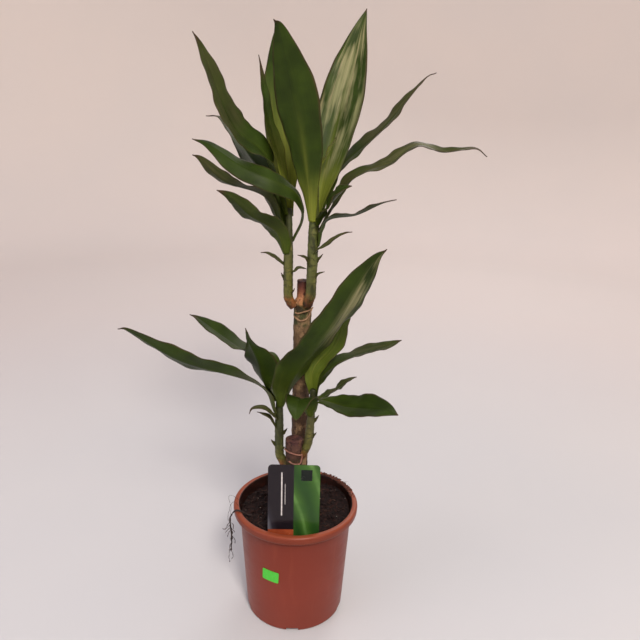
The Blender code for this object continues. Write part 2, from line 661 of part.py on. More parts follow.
# Dry bracts and leaf scars' spikes up each stem: a width, then the points of the midrib from its
# root inside the stem to its tip, all in millimetres.
BRACTS = {
    "upper_left": [
        (4.0, [(-12, 6, 370), (-15, 5, 376), (-19, 4, 380),
               (-25, 3, 384), (-30, 2, 387), (-36, 2, 387)]),
        (3.5, [(-8, 4, 367), (-4, 1, 371), (1, 0, 374), (7, 0, 373)]),
        (3.0, [(-12, 6, 357), (-14, 6, 361), (-17, 6, 367)]),
        (3.0, [(-9, 5, 345), (-6, 3, 349), (-4, 2, 353)])],
    "upper_right": [
        (4.5, [(13, -4, 386), (17, -8, 393), (27, -10, 400),
               (36, -11, 407), (42, -12, 410), (48, -13, 411)]),
        (3.5, [(13, -3, 375), (16, -3, 380), (22, -3, 388)]),
        (3.0, [(13, -3, 360), (15, -4, 365), (19, -5, 370), (24, -6, 372)]),
        (4.0, [(11, -4, 372), (8, -6, 381), (5, -8, 386), (-1, -10, 388)])],
    "lower_left": [
        (5.0, [(-18, -14, 222), (-21, -20, 230), (-27, -24, 238), (-34, -26, 242), (-42, -27, 241),
               (-45, -27, 235)]),
        (4.5, [(-19, -14, 211), (-22, -17, 221), (-27, -19, 229), (-33, -21, 233), (-38, -22, 235)]),
        (3.0, [(-19, -14, 193), (-22, -14, 197), (-25, -14, 201)]),
        (3.0, [(-15, -14, 206), (-12, -14, 209), (-9, -14, 214)]),
        (3.0, [(-16, -15, 190), (-13, -16, 192), (-11, -17, 195)])],
    "lower_right": [
        (3.0, [(14, -14, 202), (17, -14, 206), (20, -14, 210)]),
        (3.0, [(15, -14, 220), (19, -14, 224), (22, -14, 229)])],
}


def heading_of(way):
    """The heading of a direction, in degrees."""
    return degrees(atan2(way.y, way.x))


def make_bract(name, width, points):
    """A small dry blade, its root sunk well into the stem."""
    foot = Vector(points[0]) * MM
    heading = heading_of(Vector(points[-1]) - Vector(points[0]))
    roll = BRACT_ROLL * cos(radians(heading))
    leaf = {"way": points[1:], "heading": heading, "width": width * MM, "widest": 0.3,
            "waves": (1, 0.0), "fold": 20, "roll": (roll, roll)}
    steps = 2 + round((Vector(points[-1]) * MM - foot).length / 0.006)
    return blade_object(name, foot, leaf, 1.0, steps, SHOOT, foot_width=width * MM * 0.8, across=2)


def make_shoot(name, shoot):
    """A round stem whose foot sits against its cane, with its bracts grown on."""
    path = smooth_path(shoot["knots"], 0.005)
    radii = [shoot_radius(shoot, place.z) for place in path]
    stem = tube("stem_" + name, path, radii, SHOOT)
    cane = shoot["cane"]
    hollow = cane["radius"] + shoot["saddle"]
    bpy.ops.mesh.primitive_cylinder_add(vertices=24, radius=hollow, depth=2 * SADDLE_REACH)
    saddle = as_cutter(bpy.context.object)
    saddle.name = "saddle_cutter_" + name
    height = shoot["knots"][0][2] - cane["foot"][2] - 0.010
    saddle.matrix_world = cane_placing(cane) @ Matrix.Translation((0, 0, height))
    boolean(stem, saddle, "DIFFERENCE")
    stem = bake(stem)
    bracts = [make_bract("bract", width, points) for width, points in BRACTS[name]]
    return fuse(stem, bracts)


def hugging(cane, turns, radius):
    """Places of a strand that lies on a cane: pairs of heading and height in millimetres."""
    places = []
    for heading, height in turns:
        angle = radians(heading)
        reach = cane["radius"] + ROOT_HUG + radius
        middle = cane_place(cane, height * MM)
        places.append(middle + Vector((cos(angle) * reach, sin(angle) * reach, 0)))
    return places


def make_roots(name, cane, strands):
    """Thin aerial roots that lie round a cane and run into each other."""
    parts = []
    for turns in strands:
        path = smooth_path(hugging(cane, turns, ROOT_RADIUS), 0.0022)
        radii = [ROOT_RADIUS] * len(path)
        radii[0] = radii[-1] = ROOT_RADIUS * 0.6
        parts.append(tube(name, path, radii, ROOT, sides_step=1))
    return fuse(parts[0], parts[1:])


def make_stray_root():
    """A dark root that lies over the rim's left side and hangs down beside the wall."""
    path = smooth_path([Vector(k) * MM for k in STRAY_ROOT], 0.003)
    radii = [STRAY_ROOT_RADIUS] * len(path)
    radii[0] = radii[-1] = STRAY_ROOT_RADIUS * 0.5
    return tube("stray_root", path, radii, DARK_ROOT, sides_step=1)


make_pot()
make_cane("cane_tall", TALL_CANE, TALL_CANE_NECK_LENGTH, TALL_CANE_NECK_RADIUS)
make_cane("cane_short", SHORT_CANE)
make_soil()
label_blank("label", 0.0)
make_sticker()
for shoot_name, shoot_sizes in SHOOTS.items():
    make_shoot(shoot_name, shoot_sizes)
for leaf_name, leaf_sizes in LEAVES.items():
    make_leaf(leaf_name, leaf_sizes)
make_roots("roots_tall", TALL_CANE, ROOTS_TALL)
make_roots("roots_short", SHORT_CANE, ROOTS_SHORT)
make_stray_root()
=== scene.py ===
"""The looks of the potted dracaena: metres, +Z up, -Y to the front, the pot's axis at x = y = 0."""

import random
from math import atan2, ceil, copysign, cos, degrees, exp, pi, radians, sin

import bmesh
import bpy
from mathutils import Matrix, Vector, noise


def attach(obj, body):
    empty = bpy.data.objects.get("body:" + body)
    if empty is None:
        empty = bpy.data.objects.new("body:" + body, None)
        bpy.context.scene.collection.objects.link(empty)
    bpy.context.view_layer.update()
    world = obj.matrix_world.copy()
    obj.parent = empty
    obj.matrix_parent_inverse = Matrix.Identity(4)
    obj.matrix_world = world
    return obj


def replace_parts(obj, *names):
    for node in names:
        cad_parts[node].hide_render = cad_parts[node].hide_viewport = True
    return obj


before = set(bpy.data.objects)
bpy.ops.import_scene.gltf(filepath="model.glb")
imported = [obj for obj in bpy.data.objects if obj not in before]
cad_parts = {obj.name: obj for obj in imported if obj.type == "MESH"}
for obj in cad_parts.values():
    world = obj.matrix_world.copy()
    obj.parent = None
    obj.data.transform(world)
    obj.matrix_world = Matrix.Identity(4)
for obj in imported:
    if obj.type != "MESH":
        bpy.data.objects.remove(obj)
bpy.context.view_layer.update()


# The pot. A nursery pot of thin terracotta-brown plastic, injection moulded in one shot: a tapered
# wall, a rolled lip, a raised floor and a foot ring with five notches that let water drain.
RIM_RADIUS = 0.065
POT_HEIGHT = 0.1227
POT_BASE_RADIUS = 0.0513
WALL = 0.0014
LIP_WIDTH = 0.0062
LIP_HEIGHT = 0.0088
LIP_ROUND = 0.0026
WALL_TOP_RADIUS = 0.0585
FLOOR_HEIGHT = 0.004
FLOOR_THICKNESS = 0.0018
FOOT_RING_WIDTH = 0.0035
BASE_ROUND = 0.0025
NOTCHES = 5
NOTCH_WIDTH = 0.0125
NOTCH_HEIGHT = 0.0036
INNER_BEND = 0.009
INNER_CORNER = 0.003
EDGE_ROUND = 0.0014
NOTCH_DEPTH = 0.010
NOTCH_ROUND = 0.0006
POT_STEPS = 144
GAP = 0.0003
MM = 0.001


def let_go():
    """Leaves nothing selected, because a tool acts on all that is."""
    if bpy.context.object and bpy.context.object.mode != "OBJECT":
        bpy.ops.object.mode_set(mode="OBJECT")
    bpy.ops.object.select_all(action="DESELECT")


def pick(piece):
    let_go()
    piece.select_set(True)
    bpy.context.view_layer.objects.active = piece


def apply_all(piece):
    pick(piece)
    for step in list(piece.modifiers):
        bpy.ops.object.modifier_apply(modifier=step.name)


def thicken(piece, thickness, offset=0.0):
    thick = piece.modifiers.new("thickness", "SOLIDIFY")
    thick.thickness = thickness
    thick.offset = offset
    apply_all(piece)


def face_out(merge, inside=False):
    """In edit mode, merges what coincides, turns the faces outward or inward, and leaves it."""
    bpy.ops.mesh.select_all(action="SELECT")
    bpy.ops.mesh.remove_doubles(threshold=merge)
    bpy.ops.mesh.normals_make_consistent(inside=inside)
    bpy.ops.object.mode_set(mode="OBJECT")


def smooth(piece, angle=40):
    pick(piece)
    bpy.ops.object.shade_smooth_by_angle(angle=radians(angle))


def spun(name, profile, steps, inside=False):
    """Draws a profile of radius and height pairs, point by point, and spins it about Z."""
    let_go()
    bpy.ops.mesh.primitive_plane_add(size=0.01)
    piece = bpy.context.object
    piece.name = name
    bpy.ops.object.mode_set(mode="EDIT")
    bpy.ops.mesh.select_all(action="SELECT")
    bpy.ops.mesh.merge(type="CENTER")
    before = (0.0, 0.0)
    for i, (radius, height) in enumerate(profile):
        step = (radius - before[0], 0.0, height - before[1])
        if i == 0:
            bpy.ops.transform.translate(value=step)
        else:
            bpy.ops.mesh.extrude_region_move(TRANSFORM_OT_translate={"value": step})
        before = (radius, height)
    bpy.ops.mesh.select_all(action="SELECT")
    bpy.ops.mesh.spin(steps=steps, angle=2 * pi, center=(0, 0, 0), axis=(0, 0, 1))
    face_out(0.00001, inside)
    return piece


def arc(centre, radius, start, end, count):
    """Points on an arc in the radius and height plane, angles in degrees."""
    angles = [radians(start + (end - start) * i / count) for i in range(count + 1)]
    return [(centre[0] + radius * cos(a), centre[1] + radius * sin(a)) for a in angles]


def wall_radius(height):
    """Outer radius of the pot's wall."""
    return POT_BASE_RADIUS + (WALL_TOP_RADIUS - POT_BASE_RADIUS) * height / (POT_HEIGHT - LIP_HEIGHT)


def colour(code):
    """A linear colour from a hex code."""
    parts = [int(code[i:i + 2], 16) / 255 for i in (1, 3, 5)]
    return tuple(c / 12.92 if c < 0.04045 else ((c + 0.055) / 1.055) ** 2.4 for c in parts) + (1.0,)


def new_finish(name, roughness, specular=0.5):
    """Starts a material. The helpers below add their nodes to the one that was started last."""
    global tree, shader
    made = bpy.data.materials.new(name)
    made.use_nodes = True
    tree = made.node_tree
    shader = tree.nodes["Principled BSDF"]
    shader.inputs["Roughness"].default_value = roughness
    shader.inputs["Specular IOR Level"].default_value = specular
    return made


def feed(socket, value):
    """Gives an input a plain value, a hex colour or the output of another node."""
    if isinstance(value, bpy.types.NodeSocket):
        tree.links.new(value, socket)
    else:
        socket.default_value = colour(value) if isinstance(value, str) else value


def step(kind, settings=(), **inputs):
    """Adds a node with its settings and inputs."""
    made = tree.nodes.new("ShaderNode" + kind)
    for key, value in dict(settings).items():
        setattr(made, key, value)
    for key, value in inputs.items():
        feed(made.inputs[key], value)
    return made


def place(scale=(1, 1, 1), source="Object"):
    """Coordinates on the piece, stretched."""
    spot = step("TexCoord").outputs[source]
    return step("Mapping", Vector=spot, Scale=scale).outputs["Vector"]


def height_above_ground():
    return step("SeparateXYZ", Vector=place()).outputs["Z"]


def speckle(scale, detail=3.0, rough=0.55, at=(1, 1, 1), source="Object"):
    """Noise, on coordinates that are stretched first."""
    where = place(at, source)
    return step("TexNoise", Vector=where, Scale=scale, Detail=detail, Roughness=rough).outputs["Fac"]


def ramp(value, *stops):
    """Turns a value into colours or greys, by stops of place and colour."""
    made = step("ValToRGB", Fac=value)
    marks = made.color_ramp.elements
    while len(marks) < len(stops):
        marks.new(0.5)
    for mark, (spot, shade) in zip(marks, stops):
        mark.position = spot
        mark.color = colour(shade) if isinstance(shade, str) else (shade, shade, shade, 1.0)
    return made.outputs["Color"]


def blend(share, first, second):
    """Mixes two colours by a share. The node's inputs 6 and 7 and output 2 are its colours."""
    made = step("Mix", {"data_type": "RGBA"})
    for at, value in ((0, share), (6, first), (7, second)):
        feed(made.inputs[at], value)
    return made.outputs[2]


def sums(operation, first, second):
    """Adds, multiplies and so on two values."""
    made = step("Math", {"operation": operation})
    feed(made.inputs[0], first)
    feed(made.inputs[1], second)
    return made.outputs[0]


def wavered(value, noisy, most):
    """A value moved up and down by a noise."""
    return sums("ADD", value, sums("MULTIPLY", sums("SUBTRACT", noisy, 0.5), most))


def bumps(height, distance, strength=1.0):
    made = step("Bump", Height=height, Distance=distance, Strength=strength)
    feed(shader.inputs["Normal"], made.outputs["Normal"])


def over(base, value, low, high, most, shade):
    """Lays a shade over a colour, the more the further a value is past low."""
    return blend(ramp(value, (low, 0.0), (high, most)), base, shade)


def wear(base, value, smoothest, roughest):
    """Sets the shader's colour, and its roughness from a noise."""
    feed(shader.inputs["Base Color"], base)
    feed(shader.inputs["Roughness"], ramp(value, (0.3, smoothest), (0.7, roughest)))


def grained(name, roughness, grain, shades, stops=(0.3, 0.7), rough=(), fine=(), specular=0.5):
    """A finish whose colour, and roughness where given, follow one grain, with finer bumps."""
    made = new_finish(name, roughness, specular)
    value = speckle(*grain)
    base = ramp(value, *zip(stops, shades))
    if rough:
        wear(base, value, *rough)
    else:
        feed(shader.inputs["Base Color"], base)
    if fine:
        bumps(speckle(fine[0], 3.0), fine[1])
    return made


lip_inner = RIM_RADIUS - LIP_WIDTH
lip_bottom = POT_HEIGHT - LIP_HEIGHT
pot_profile = [(0.0, FLOOR_HEIGHT + FLOOR_THICKNESS)]
pot_profile += [(POT_BASE_RADIUS - WALL - INNER_CORNER, FLOOR_HEIGHT + FLOOR_THICKNESS)]
pot_profile += [(wall_radius(INNER_BEND) - WALL, INNER_BEND), (WALL_TOP_RADIUS - WALL, lip_bottom)]
pot_profile += [(lip_inner, POT_HEIGHT - 0.0016)]
pot_profile += arc((lip_inner + EDGE_ROUND, POT_HEIGHT - EDGE_ROUND), EDGE_ROUND, 170, 90, 4)
pot_profile += arc((RIM_RADIUS - LIP_ROUND, POT_HEIGHT - LIP_ROUND), LIP_ROUND, 90, 0, 8)
pot_profile += [(RIM_RADIUS - 0.0002, lip_bottom + 0.0024), (RIM_RADIUS - 0.0006, lip_bottom + 0.0010)]
pot_profile += [(RIM_RADIUS - 0.0014, lip_bottom + 0.0002), (RIM_RADIUS - 0.0024, lip_bottom)]
pot_profile += [(WALL_TOP_RADIUS + 0.0010, lip_bottom), (WALL_TOP_RADIUS + 0.0002, lip_bottom - 0.0006)]
pot_profile += [(wall_radius(h), h) for h in (0.110, 0.085, 0.060, 0.035, 0.012)]
pot_profile += arc((POT_BASE_RADIUS - BASE_ROUND, BASE_ROUND), BASE_ROUND, 5, -90, 7)
pot_profile += [(POT_BASE_RADIUS - FOOT_RING_WIDTH - 0.001, 0.0)]
pot_profile += [(POT_BASE_RADIUS - FOOT_RING_WIDTH - 0.002, FLOOR_HEIGHT), (0.0, FLOOR_HEIGHT)]
pot = spun("pot_shell", pot_profile, POT_STEPS)
for i in range(NOTCHES):
    heading = radians(270 + i * 360 / NOTCHES)
    reach = POT_BASE_RADIUS - 0.001
    let_go()
    bpy.ops.mesh.primitive_cube_add(size=1.0)
    block = bpy.context.object
    block.scale = (NOTCH_DEPTH, NOTCH_WIDTH, NOTCH_HEIGHT * 2)
    block.location = (reach * cos(heading), reach * sin(heading), 0.0)
    block.rotation_euler = (0.0, 0.0, heading)
    bpy.ops.object.transform_apply(location=True, rotation=True, scale=True)
    rounding = block.modifiers.new("round", "BEVEL")
    rounding.width = NOTCH_ROUND
    rounding.segments = 3
    apply_all(block)
    cut = pot.modifiers.new("notch", "BOOLEAN")
    cut.operation = "DIFFERENCE"
    cut.solver = "EXACT"
    cut.object = block
    apply_all(pot)
    bpy.data.objects.remove(block, do_unlink=True)
smooth(pot, 35)


def plastic(name, peat_smeared_and_shaded):
    """Moulded terracotta plastic with a painted highlight along the rim's top, and where asked for,
    wiped over with damp peat and darkened as painted shade.
    """
    made = new_finish(name, 0.38, 0.25)
    upward = sums("MULTIPLY", height_above_ground(), 1 / POT_HEIGHT)
    # Colour by height: darker up the wall to just under the lip, and a painted highlight along the
    # rounded top of the rim.
    body = ramp(upward, (0.0, "#7E392B"), (0.35, "#7C3527"), (0.80, "#722D1E"), (0.91, "#6C2919"),
                (0.94, "#702F1B"), (0.985, "#75321F"), (1.0, "#8C452C"))
    body = over(body, speckle(14.0, 3.0), 0.35, 0.75, 0.30, "#602419")
    body = over(body, speckle(2.0, 4.0, at=(60, 60, 9)), 0.55, 0.80, 0.14, "#A3573F")
    body = over(body, speckle(900.0, 2.0), 0.68, 0.80, 0.30, "#431B14")
    if peat_smeared_and_shaded:
        # Painted shade: the inner wall above the floor is darkened almost to black, partly as damp peat
        # smeared on it and partly as the shade inside the pot.
        smear_and_shade = speckle(130.0, 4.0, 0.65, at=(1, 1, 1.6))
        body = blend(ramp(smear_and_shade, (0.30, 0.80), (0.52, 0.98)), body, "#1C100D")
    wear(body, speckle(55.0, 6.0, 0.7, at=(1, 1, 3)), 0.32, 0.46)
    bumps(speckle(420.0, 3.0), 0.00006, 0.5)
    return made


pot.data.materials.append(plastic("pot_plastic", False))
pot.data.materials.append(plastic("shaded_peat_plastic", True))
# Faces of the inner wall above the floor take the finish with the peat smear and painted shade.
for face in pot.data.polygons:
    inward = face.normal.dot(Vector((face.center.x, face.center.y, 0)).normalized()) < -0.5
    face.material_index = 1 if inward and face.center.z > FLOOR_HEIGHT else 0
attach(pot, "root")
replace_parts(pot, "pot")


# The peat. Dark moist peat pressed into the pot to just under its lip: a lumpy body, loose crumbs
# and torn fibres that lie on it, and the crumbs spilt along the back of the rim at the right.
SOIL_LEVEL = 0.1125
SOIL_LUMP = 0.0010
SOIL_HEAP = {"heading": 32, "spread": 26, "height": 0.0050}
SOIL_RINGS = 56
SOIL_STEPS = 150
TALL_CANE = {"foot": (0.002, 0.012, 0.062), "top": (0.0040, 0.0100, 0.3595), "radius": 0.0088}
SHORT_CANE = {"foot": (-0.001, -0.0115, 0.066), "top": (-0.0022, -0.0120, 0.2015), "radius": 0.0088}
CANES = (TALL_CANE, SHORT_CANE)
CRUMBS = 620
SPILT_CRUMBS = 210
FLECKS = 46
FIBRES = 90
SPILT_FIBRES = 60
soil_edge = WALL_TOP_RADIUS - WALL - GAP - 0.0004
chance = random.Random(7)


def soil_height(x, y):
    """The peat's surface: low lumps, a heap at the back right, and a fine crumble."""
    lumps = sin(x * 310 + 1.1) * sin(y * 270 + 0.4) + 0.6 * sin(x * 620 - y * 540)
    outward = min(1.0, Vector((x, y)).length / soil_edge)
    turn = (degrees(atan2(y, x)) - SOIL_HEAP["heading"]) / SOIL_HEAP["spread"]
    heap = SOIL_HEAP["height"] * exp(-turn * turn) * outward ** 3
    here = Vector((x, y, 0.0))
    crumble = 0.0009 * noise.noise(here * 240) + 0.0008 * noise.noise(here * 520)
    crumble += 0.0005 * noise.noise(here * 1100)
    return SOIL_LEVEL + SOIL_LUMP * lumps * (1 - 0.6 * outward ** 8) + heap + crumble


def cane_place(cane, height):
    foot, top = Vector(cane["foot"]), Vector(cane["top"])
    return foot.lerp(top, (height - foot.z) / (top.z - foot.z))


soil_profile = [(soil_edge * i / SOIL_RINGS, SOIL_LEVEL) for i in range(SOIL_RINGS + 1)]
soil_profile += [(wall_radius(INNER_BEND) - WALL - GAP, INNER_BEND + GAP)]
soil_profile += [(POT_BASE_RADIUS - WALL - INNER_CORNER - GAP, FLOOR_HEIGHT + FLOOR_THICKNESS + GAP)]
soil_profile += [(0.0, FLOOR_HEIGHT + FLOOR_THICKNESS + GAP)]
peat = spun("peat_body", soil_profile, SOIL_STEPS)
for corner in peat.data.vertices:
    if corner.co.z > SOIL_LEVEL - 0.001:
        corner.co.z = soil_height(corner.co.x, corner.co.y)
smooth(peat, 60)

peat_finish = new_finish("damp_peat", 0.92, 0.2)
tone = speckle(260.0, 6.0, 0.65)
base = ramp(tone, (0.30, "#0D0707"), (0.50, "#1B0F0E"), (0.66, "#2E1A16"), (0.80, "#42281F"))
base = over(base, speckle(1.0, 4.0, at=(900, 160, 300)), 0.62, 0.74, 0.6, "#5A3A2A")
wear(base, tone, 0.80, 0.96)
bumps(speckle(700.0, 5.0, 0.7), 0.0007)
peat.data.materials.append(peat_finish)
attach(peat, "root")
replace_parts(peat, "soil")


def lump(name, faces, stretch):
    """One crumb of peat: a low ball, knocked out of round."""
    let_go()
    bpy.ops.mesh.primitive_ico_sphere_add(subdivisions=faces, radius=1.0)
    crumb = bpy.context.object
    crumb.name = name
    for corner in crumb.data.vertices:
        knock = 1.0 + 0.55 * noise.noise(corner.co * 1.3 + Vector((stretch * 3, 1, 2)))
        corner.co = Vector((corner.co.x * stretch, corner.co.y, corner.co.z * 0.75)) * knock
    return crumb


def joined(name, meshes):
    """One object from many meshes, each already in its place."""
    work = bmesh.new()
    for mesh in meshes:
        work.from_mesh(mesh)
    whole = bpy.data.meshes.new(name)
    work.to_mesh(whole)
    work.free()
    piece = bpy.data.objects.new(name, whole)
    bpy.context.scene.collection.objects.link(piece)
    return piece


def gathered(name, pieces):
    """One object in the place of many."""
    whole = joined(name, [piece.data for piece in pieces])
    for piece in pieces:
        bpy.data.objects.remove(piece, do_unlink=True)
    return whole


def scattered(name, models, spots):
    """Copies of a few models, one at each spot, which is a place and a size."""
    copies = []
    for where, size in spots:
        mesh = models[chance.randrange(len(models))].data.copy()
        turn = Matrix.Rotation(chance.uniform(0, 2 * pi), 4, "Z")
        tip = Matrix.Rotation(chance.uniform(-0.7, 0.7), 4, "X")
        mesh.transform(Matrix.Translation(where) @ turn @ tip @ Matrix.Scale(size, 4))
        copies.append(mesh)
    return joined(name, copies)


def on_soil():
    """A place on the peat, clear of the canes."""
    while True:
        reach = soil_edge * chance.random() ** 0.5 * 0.985
        angle = chance.uniform(0, 2 * pi)
        x, y = reach * cos(angle), reach * sin(angle)
        spot = Vector((x, y, soil_height(x, y)))
        gaps = [(cane_place(cane, SOIL_LEVEL) - spot).to_2d().length - cane["radius"] for cane in CANES]
        if min(gaps) > 0:
            return spot


def on_rim():
    """A place on the lip along the back right, most of them at its inner side."""
    angle = radians(chance.triangular(6, 70, 40))
    reach = lip_inner + 0.0008 + 0.0040 * chance.random() ** 2
    return Vector((reach * cos(angle), reach * sin(angle), POT_HEIGHT + 0.0003))


crumb_models = [lump("crumb_" + str(i), 2, 0.8 + 0.35 * i) for i in range(4)]
crumb_spots = [(on_soil(), 0.0005 + 0.0017 * chance.random() ** 3) for i in range(CRUMBS)]
crumbs = scattered("peat_crumbs", crumb_models, crumb_spots)
crumbs.data.materials.append(peat_finish)
rim_spots = [(on_rim(), 0.0003 + 0.0011 * chance.random() ** 2) for i in range(SPILT_CRUMBS)]
rim_crumbs = scattered("spilt_crumbs", crumb_models, rim_spots)
fleck_models = [lump("fleck_" + str(i), 1, 1.0 + 0.3 * i) for i in range(2)]
fleck_spots = [(on_soil(), chance.uniform(0.0002, 0.0005)) for i in range(FLECKS)]
flecks = scattered("pale_flecks", fleck_models, fleck_spots)
for model in crumb_models + fleck_models:
    bpy.data.objects.remove(model, do_unlink=True)
flecks.data.materials.append(grained("sandy_fleck", 0.8, (1500.0, 2.0), ("#8F7F70", "#D9CCBE")))


def rod(name, places, radii, sides=2):
    """A round rod along a path, with its own thickness at each point."""
    let_go()
    bpy.ops.curve.primitive_nurbs_path_add()
    path = bpy.context.object
    path.name = name
    curve = path.data
    curve.splines.clear()
    curve.bevel_depth = 1.0
    curve.bevel_resolution = sides
    curve.use_fill_caps = True
    spline = curve.splines.new("POLY")
    spline.points.add(len(places) - 1)
    for knot, spot, radius in zip(spline.points, places, radii):
        knot.co = (*spot, 1.0)
        knot.radius = radius
    bpy.ops.object.convert(target="MESH")
    piece = bpy.context.object
    bpy.ops.object.mode_set(mode="EDIT")
    face_out(0.000001)
    bpy.ops.object.shade_smooth()
    return piece


def smooth_path(knots, spacing):
    """Points along a smooth curve through a few knots."""
    knots = [Vector(k) for k in knots]
    ends = [2 * knots[0] - knots[1]] + knots + [2 * knots[-1] - knots[-2]]
    path = []
    for before, start, end, after in zip(ends, ends[1:], ends[2:], ends[3:]):
        count = max(2, round((end - start).length / spacing))
        for i in range(count):
            t = i / count
            spot = 2 * start + (end - before) * t
            spot += (2 * before - 5 * start + 4 * end - after) * t * t
            spot += (3 * start - before - 3 * end + after) * t ** 3
            path.append(spot * 0.5)
    path.append(knots[-1])
    return path


def fibre(spot, length, radius, lift):
    """A torn fibre that lies on the peat, curled a little."""
    angle = chance.uniform(0, 2 * pi)
    knots = [spot.copy()]
    for i in range(4):
        angle += chance.uniform(-0.7, 0.7)
        ahead = knots[-1] + Vector((cos(angle), sin(angle), 0.0)) * length / 4
        ahead.z = spot.z + lift * chance.random()
        knots.append(ahead)
    path = smooth_path(knots, length / 10)
    return rod("fibre", path, [radius * (1 - 0.6 * i / len(path)) for i in range(len(path))], 0)


DRAWN_IN = 0.96
fibre_lift = Vector((0, 0, SOIL_LEVEL * (1 - DRAWN_IN) + 0.0006))
fibre_pieces = [fibre(on_soil() * DRAWN_IN + fibre_lift, chance.uniform(0.004, 0.011),
                      chance.uniform(0.00010, 0.00026), 0.0012) for i in range(FIBRES)]
rim_pieces = [fibre(on_rim(), chance.uniform(0.002, 0.007), 0.00016, 0.0018)
              for i in range(SPILT_FIBRES)]
fibres = gathered("peat_fibres", fibre_pieces)
rim_fibres = gathered("spilt_fibres", rim_pieces)
fibres.data.materials.append(grained("peat_fibre", 0.85, (300.0, 2.0), ("#2A1A14", "#6B4735")))
spilt_finish = grained("dry_spilt_peat", 0.9, (700.0, 3.0), ("#2E1812", "#5A3022", "#7E4A34"),
                       (0.3, 0.55, 0.75))
rim_crumbs.data.materials.append(spilt_finish)
rim_fibres.data.materials.append(spilt_finish)
for piece in (crumbs, rim_crumbs, flecks, fibres, rim_fibres):
    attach(piece, "root")


# The canes. Two bare woody cuttings, sawn to length and stood in the peat. The bark is ringed by
# old leaf scars, and the tall cane's top has dried back to a narrow purple-brown neck.
TALL_NECK_RADIUS = 0.0056
TALL_NECK_LENGTH = 0.0190
NECK_STEP = 0.004
NECK_EASE = 0.007
NECK_SWELL = 0.0006
RING_SPACING = 0.0125
RING_DEPTH = 0.00035
CANE_SIDES = 56
CANE_RING = 0.0012


def ring_swell(height):
    """The old leaf scars stand out as low rings round a cane."""
    return RING_DEPTH * (0.5 + 0.5 * cos(2 * pi * height / RING_SPACING)) ** 4


def cane_radius(cane, height, length, neck_length, neck_radius):
    """Radius at a height above the cane's foot."""
    body_top = length - neck_length - NECK_STEP if neck_length else length
    if height <= body_top:
        return cane["radius"] - 0.0003 + ring_swell(height)
    share = min(1.0, (height - body_top) / NECK_EASE)
    ease_in = share * share * (3 - 2 * share)
    swollen = cane["radius"] + NECK_SWELL
    return swollen + (neck_radius + 0.0002 - swollen) * ease_in


def bark(name, cane, neck_length=0.0, neck_radius=0.0):
    """A cane with cracked, ringed bark, turned upright and then stood along its own axis."""
    foot, top = Vector(cane["foot"]), Vector(cane["top"])
    length = (top - foot).length
    rings = ceil(length / CANE_RING)
    profile = [(0.0, length - 0.0004), (0.0030, length - 0.0003)]
    heights = [length - 0.0002 - (length - 0.0002) * i / rings for i in range(rings + 1)]
    radii = [cane_radius(cane, h, length, neck_length, neck_radius) for h in heights]
    profile += [(radii[0] - 0.0006, length)]
    profile += list(zip(radii, heights)) + [(0.0, 0.0)]
    piece = spun(name, profile, CANE_SIDES)
    for corner in piece.data.vertices:
        outward = Vector((corner.co.x, corner.co.y, 0.0))
        if outward.length < 0.0035:
            corner.co.z += 0.0004 * noise.noise(corner.co * 700)
            continue
        turn = outward.normalized()
        here = Vector((turn.x * 9, turn.y * 9, corner.co.z * 260))
        groove = 0.00022 * noise.noise(here) + 0.00016 * noise.noise(here * 2.7)
        scar = 0.00018 * noise.noise(Vector((turn.x * 2, turn.y * 2, corner.co.z * 700)))
        corner.co += turn * (groove + scar)
    turn = (top - foot).to_track_quat("Z", "Y").to_matrix().to_4x4()
    piece.data.transform(Matrix.Translation(foot) @ turn)
    smooth(piece, 50)
    return piece


def bark_finish(name, low, high, patches, zones):
    """Brown bark in patches, with its own colours by height."""
    made = new_finish(name, 0.78, 0.25)
    height = wavered(height_above_ground(), speckle(120.0, 2.0), 0.010)
    share = sums("DIVIDE", sums("SUBTRACT", height, low), high - low)
    base = ramp(share, *zones)
    patch = speckle(110.0, 4.0, 0.6, at=(1, 1, 0.6))
    base = over(base, patch, 0.50, 0.62, 0.75, patches[0])
    base = over(base, speckle(190.0, 3.0, 0.6, at=(1.3, 1.1, 0.8)), 0.54, 0.63, 0.75, patches[1])
    crack = speckle(1.0, 4.0, 0.7, at=(260, 260, 1500))
    base = over(base, crack, 0.56, 0.70, 0.75, "#24140F")
    wear(base, patch, 0.62, 0.86)
    bumps(crack, 0.0006, 0.9)
    return made


tall_cane = bark("tall_cane_bark", TALL_CANE, TALL_NECK_LENGTH, TALL_NECK_RADIUS)
tall_cane.data.materials.append(bark_finish(
    "tall_bark", 0.110, 0.360, ("#967A5A", "#2C1E17"),
    [(0.0, "#3E2C24"), (0.30, "#443124"), (0.45, "#4E3A2A"), (0.65, "#624D37"), (0.815, "#6A543C"),
     (0.83, "#3E4426"), (0.895, "#464627"), (0.912, "#9A6C44"), (0.930, "#B07C56"), (0.955, "#82503A"),
     (0.980, "#5C3228"), (1.0, "#2E1718")]))
short_cane = bark("short_cane_bark", SHORT_CANE)
short_cane.data.materials.append(bark_finish(
    "short_bark", 0.110, 0.202, ("#6C4C3C", "#2A1B18"),
    [(0.0, "#3A2C20"), (0.50, "#3C3A22"), (0.74, "#3E3C24"), (0.80, "#4C362E"), (0.93, "#543A32"),
     (0.985, "#44292A"), (1.0, "#5A3A34")]))
for piece, node in ((tall_cane, "cane_tall"), (short_cane, "cane_short")):
    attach(piece, "root")
    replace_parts(piece, node)


# The aerial roots. Thin dry tan roots, a millimetre or two thick, that the shoots have put out
# and that lie in loose loops round both canes.
ROOT_RADIUS = 0.0008
ROOT_HUG = 0.0005

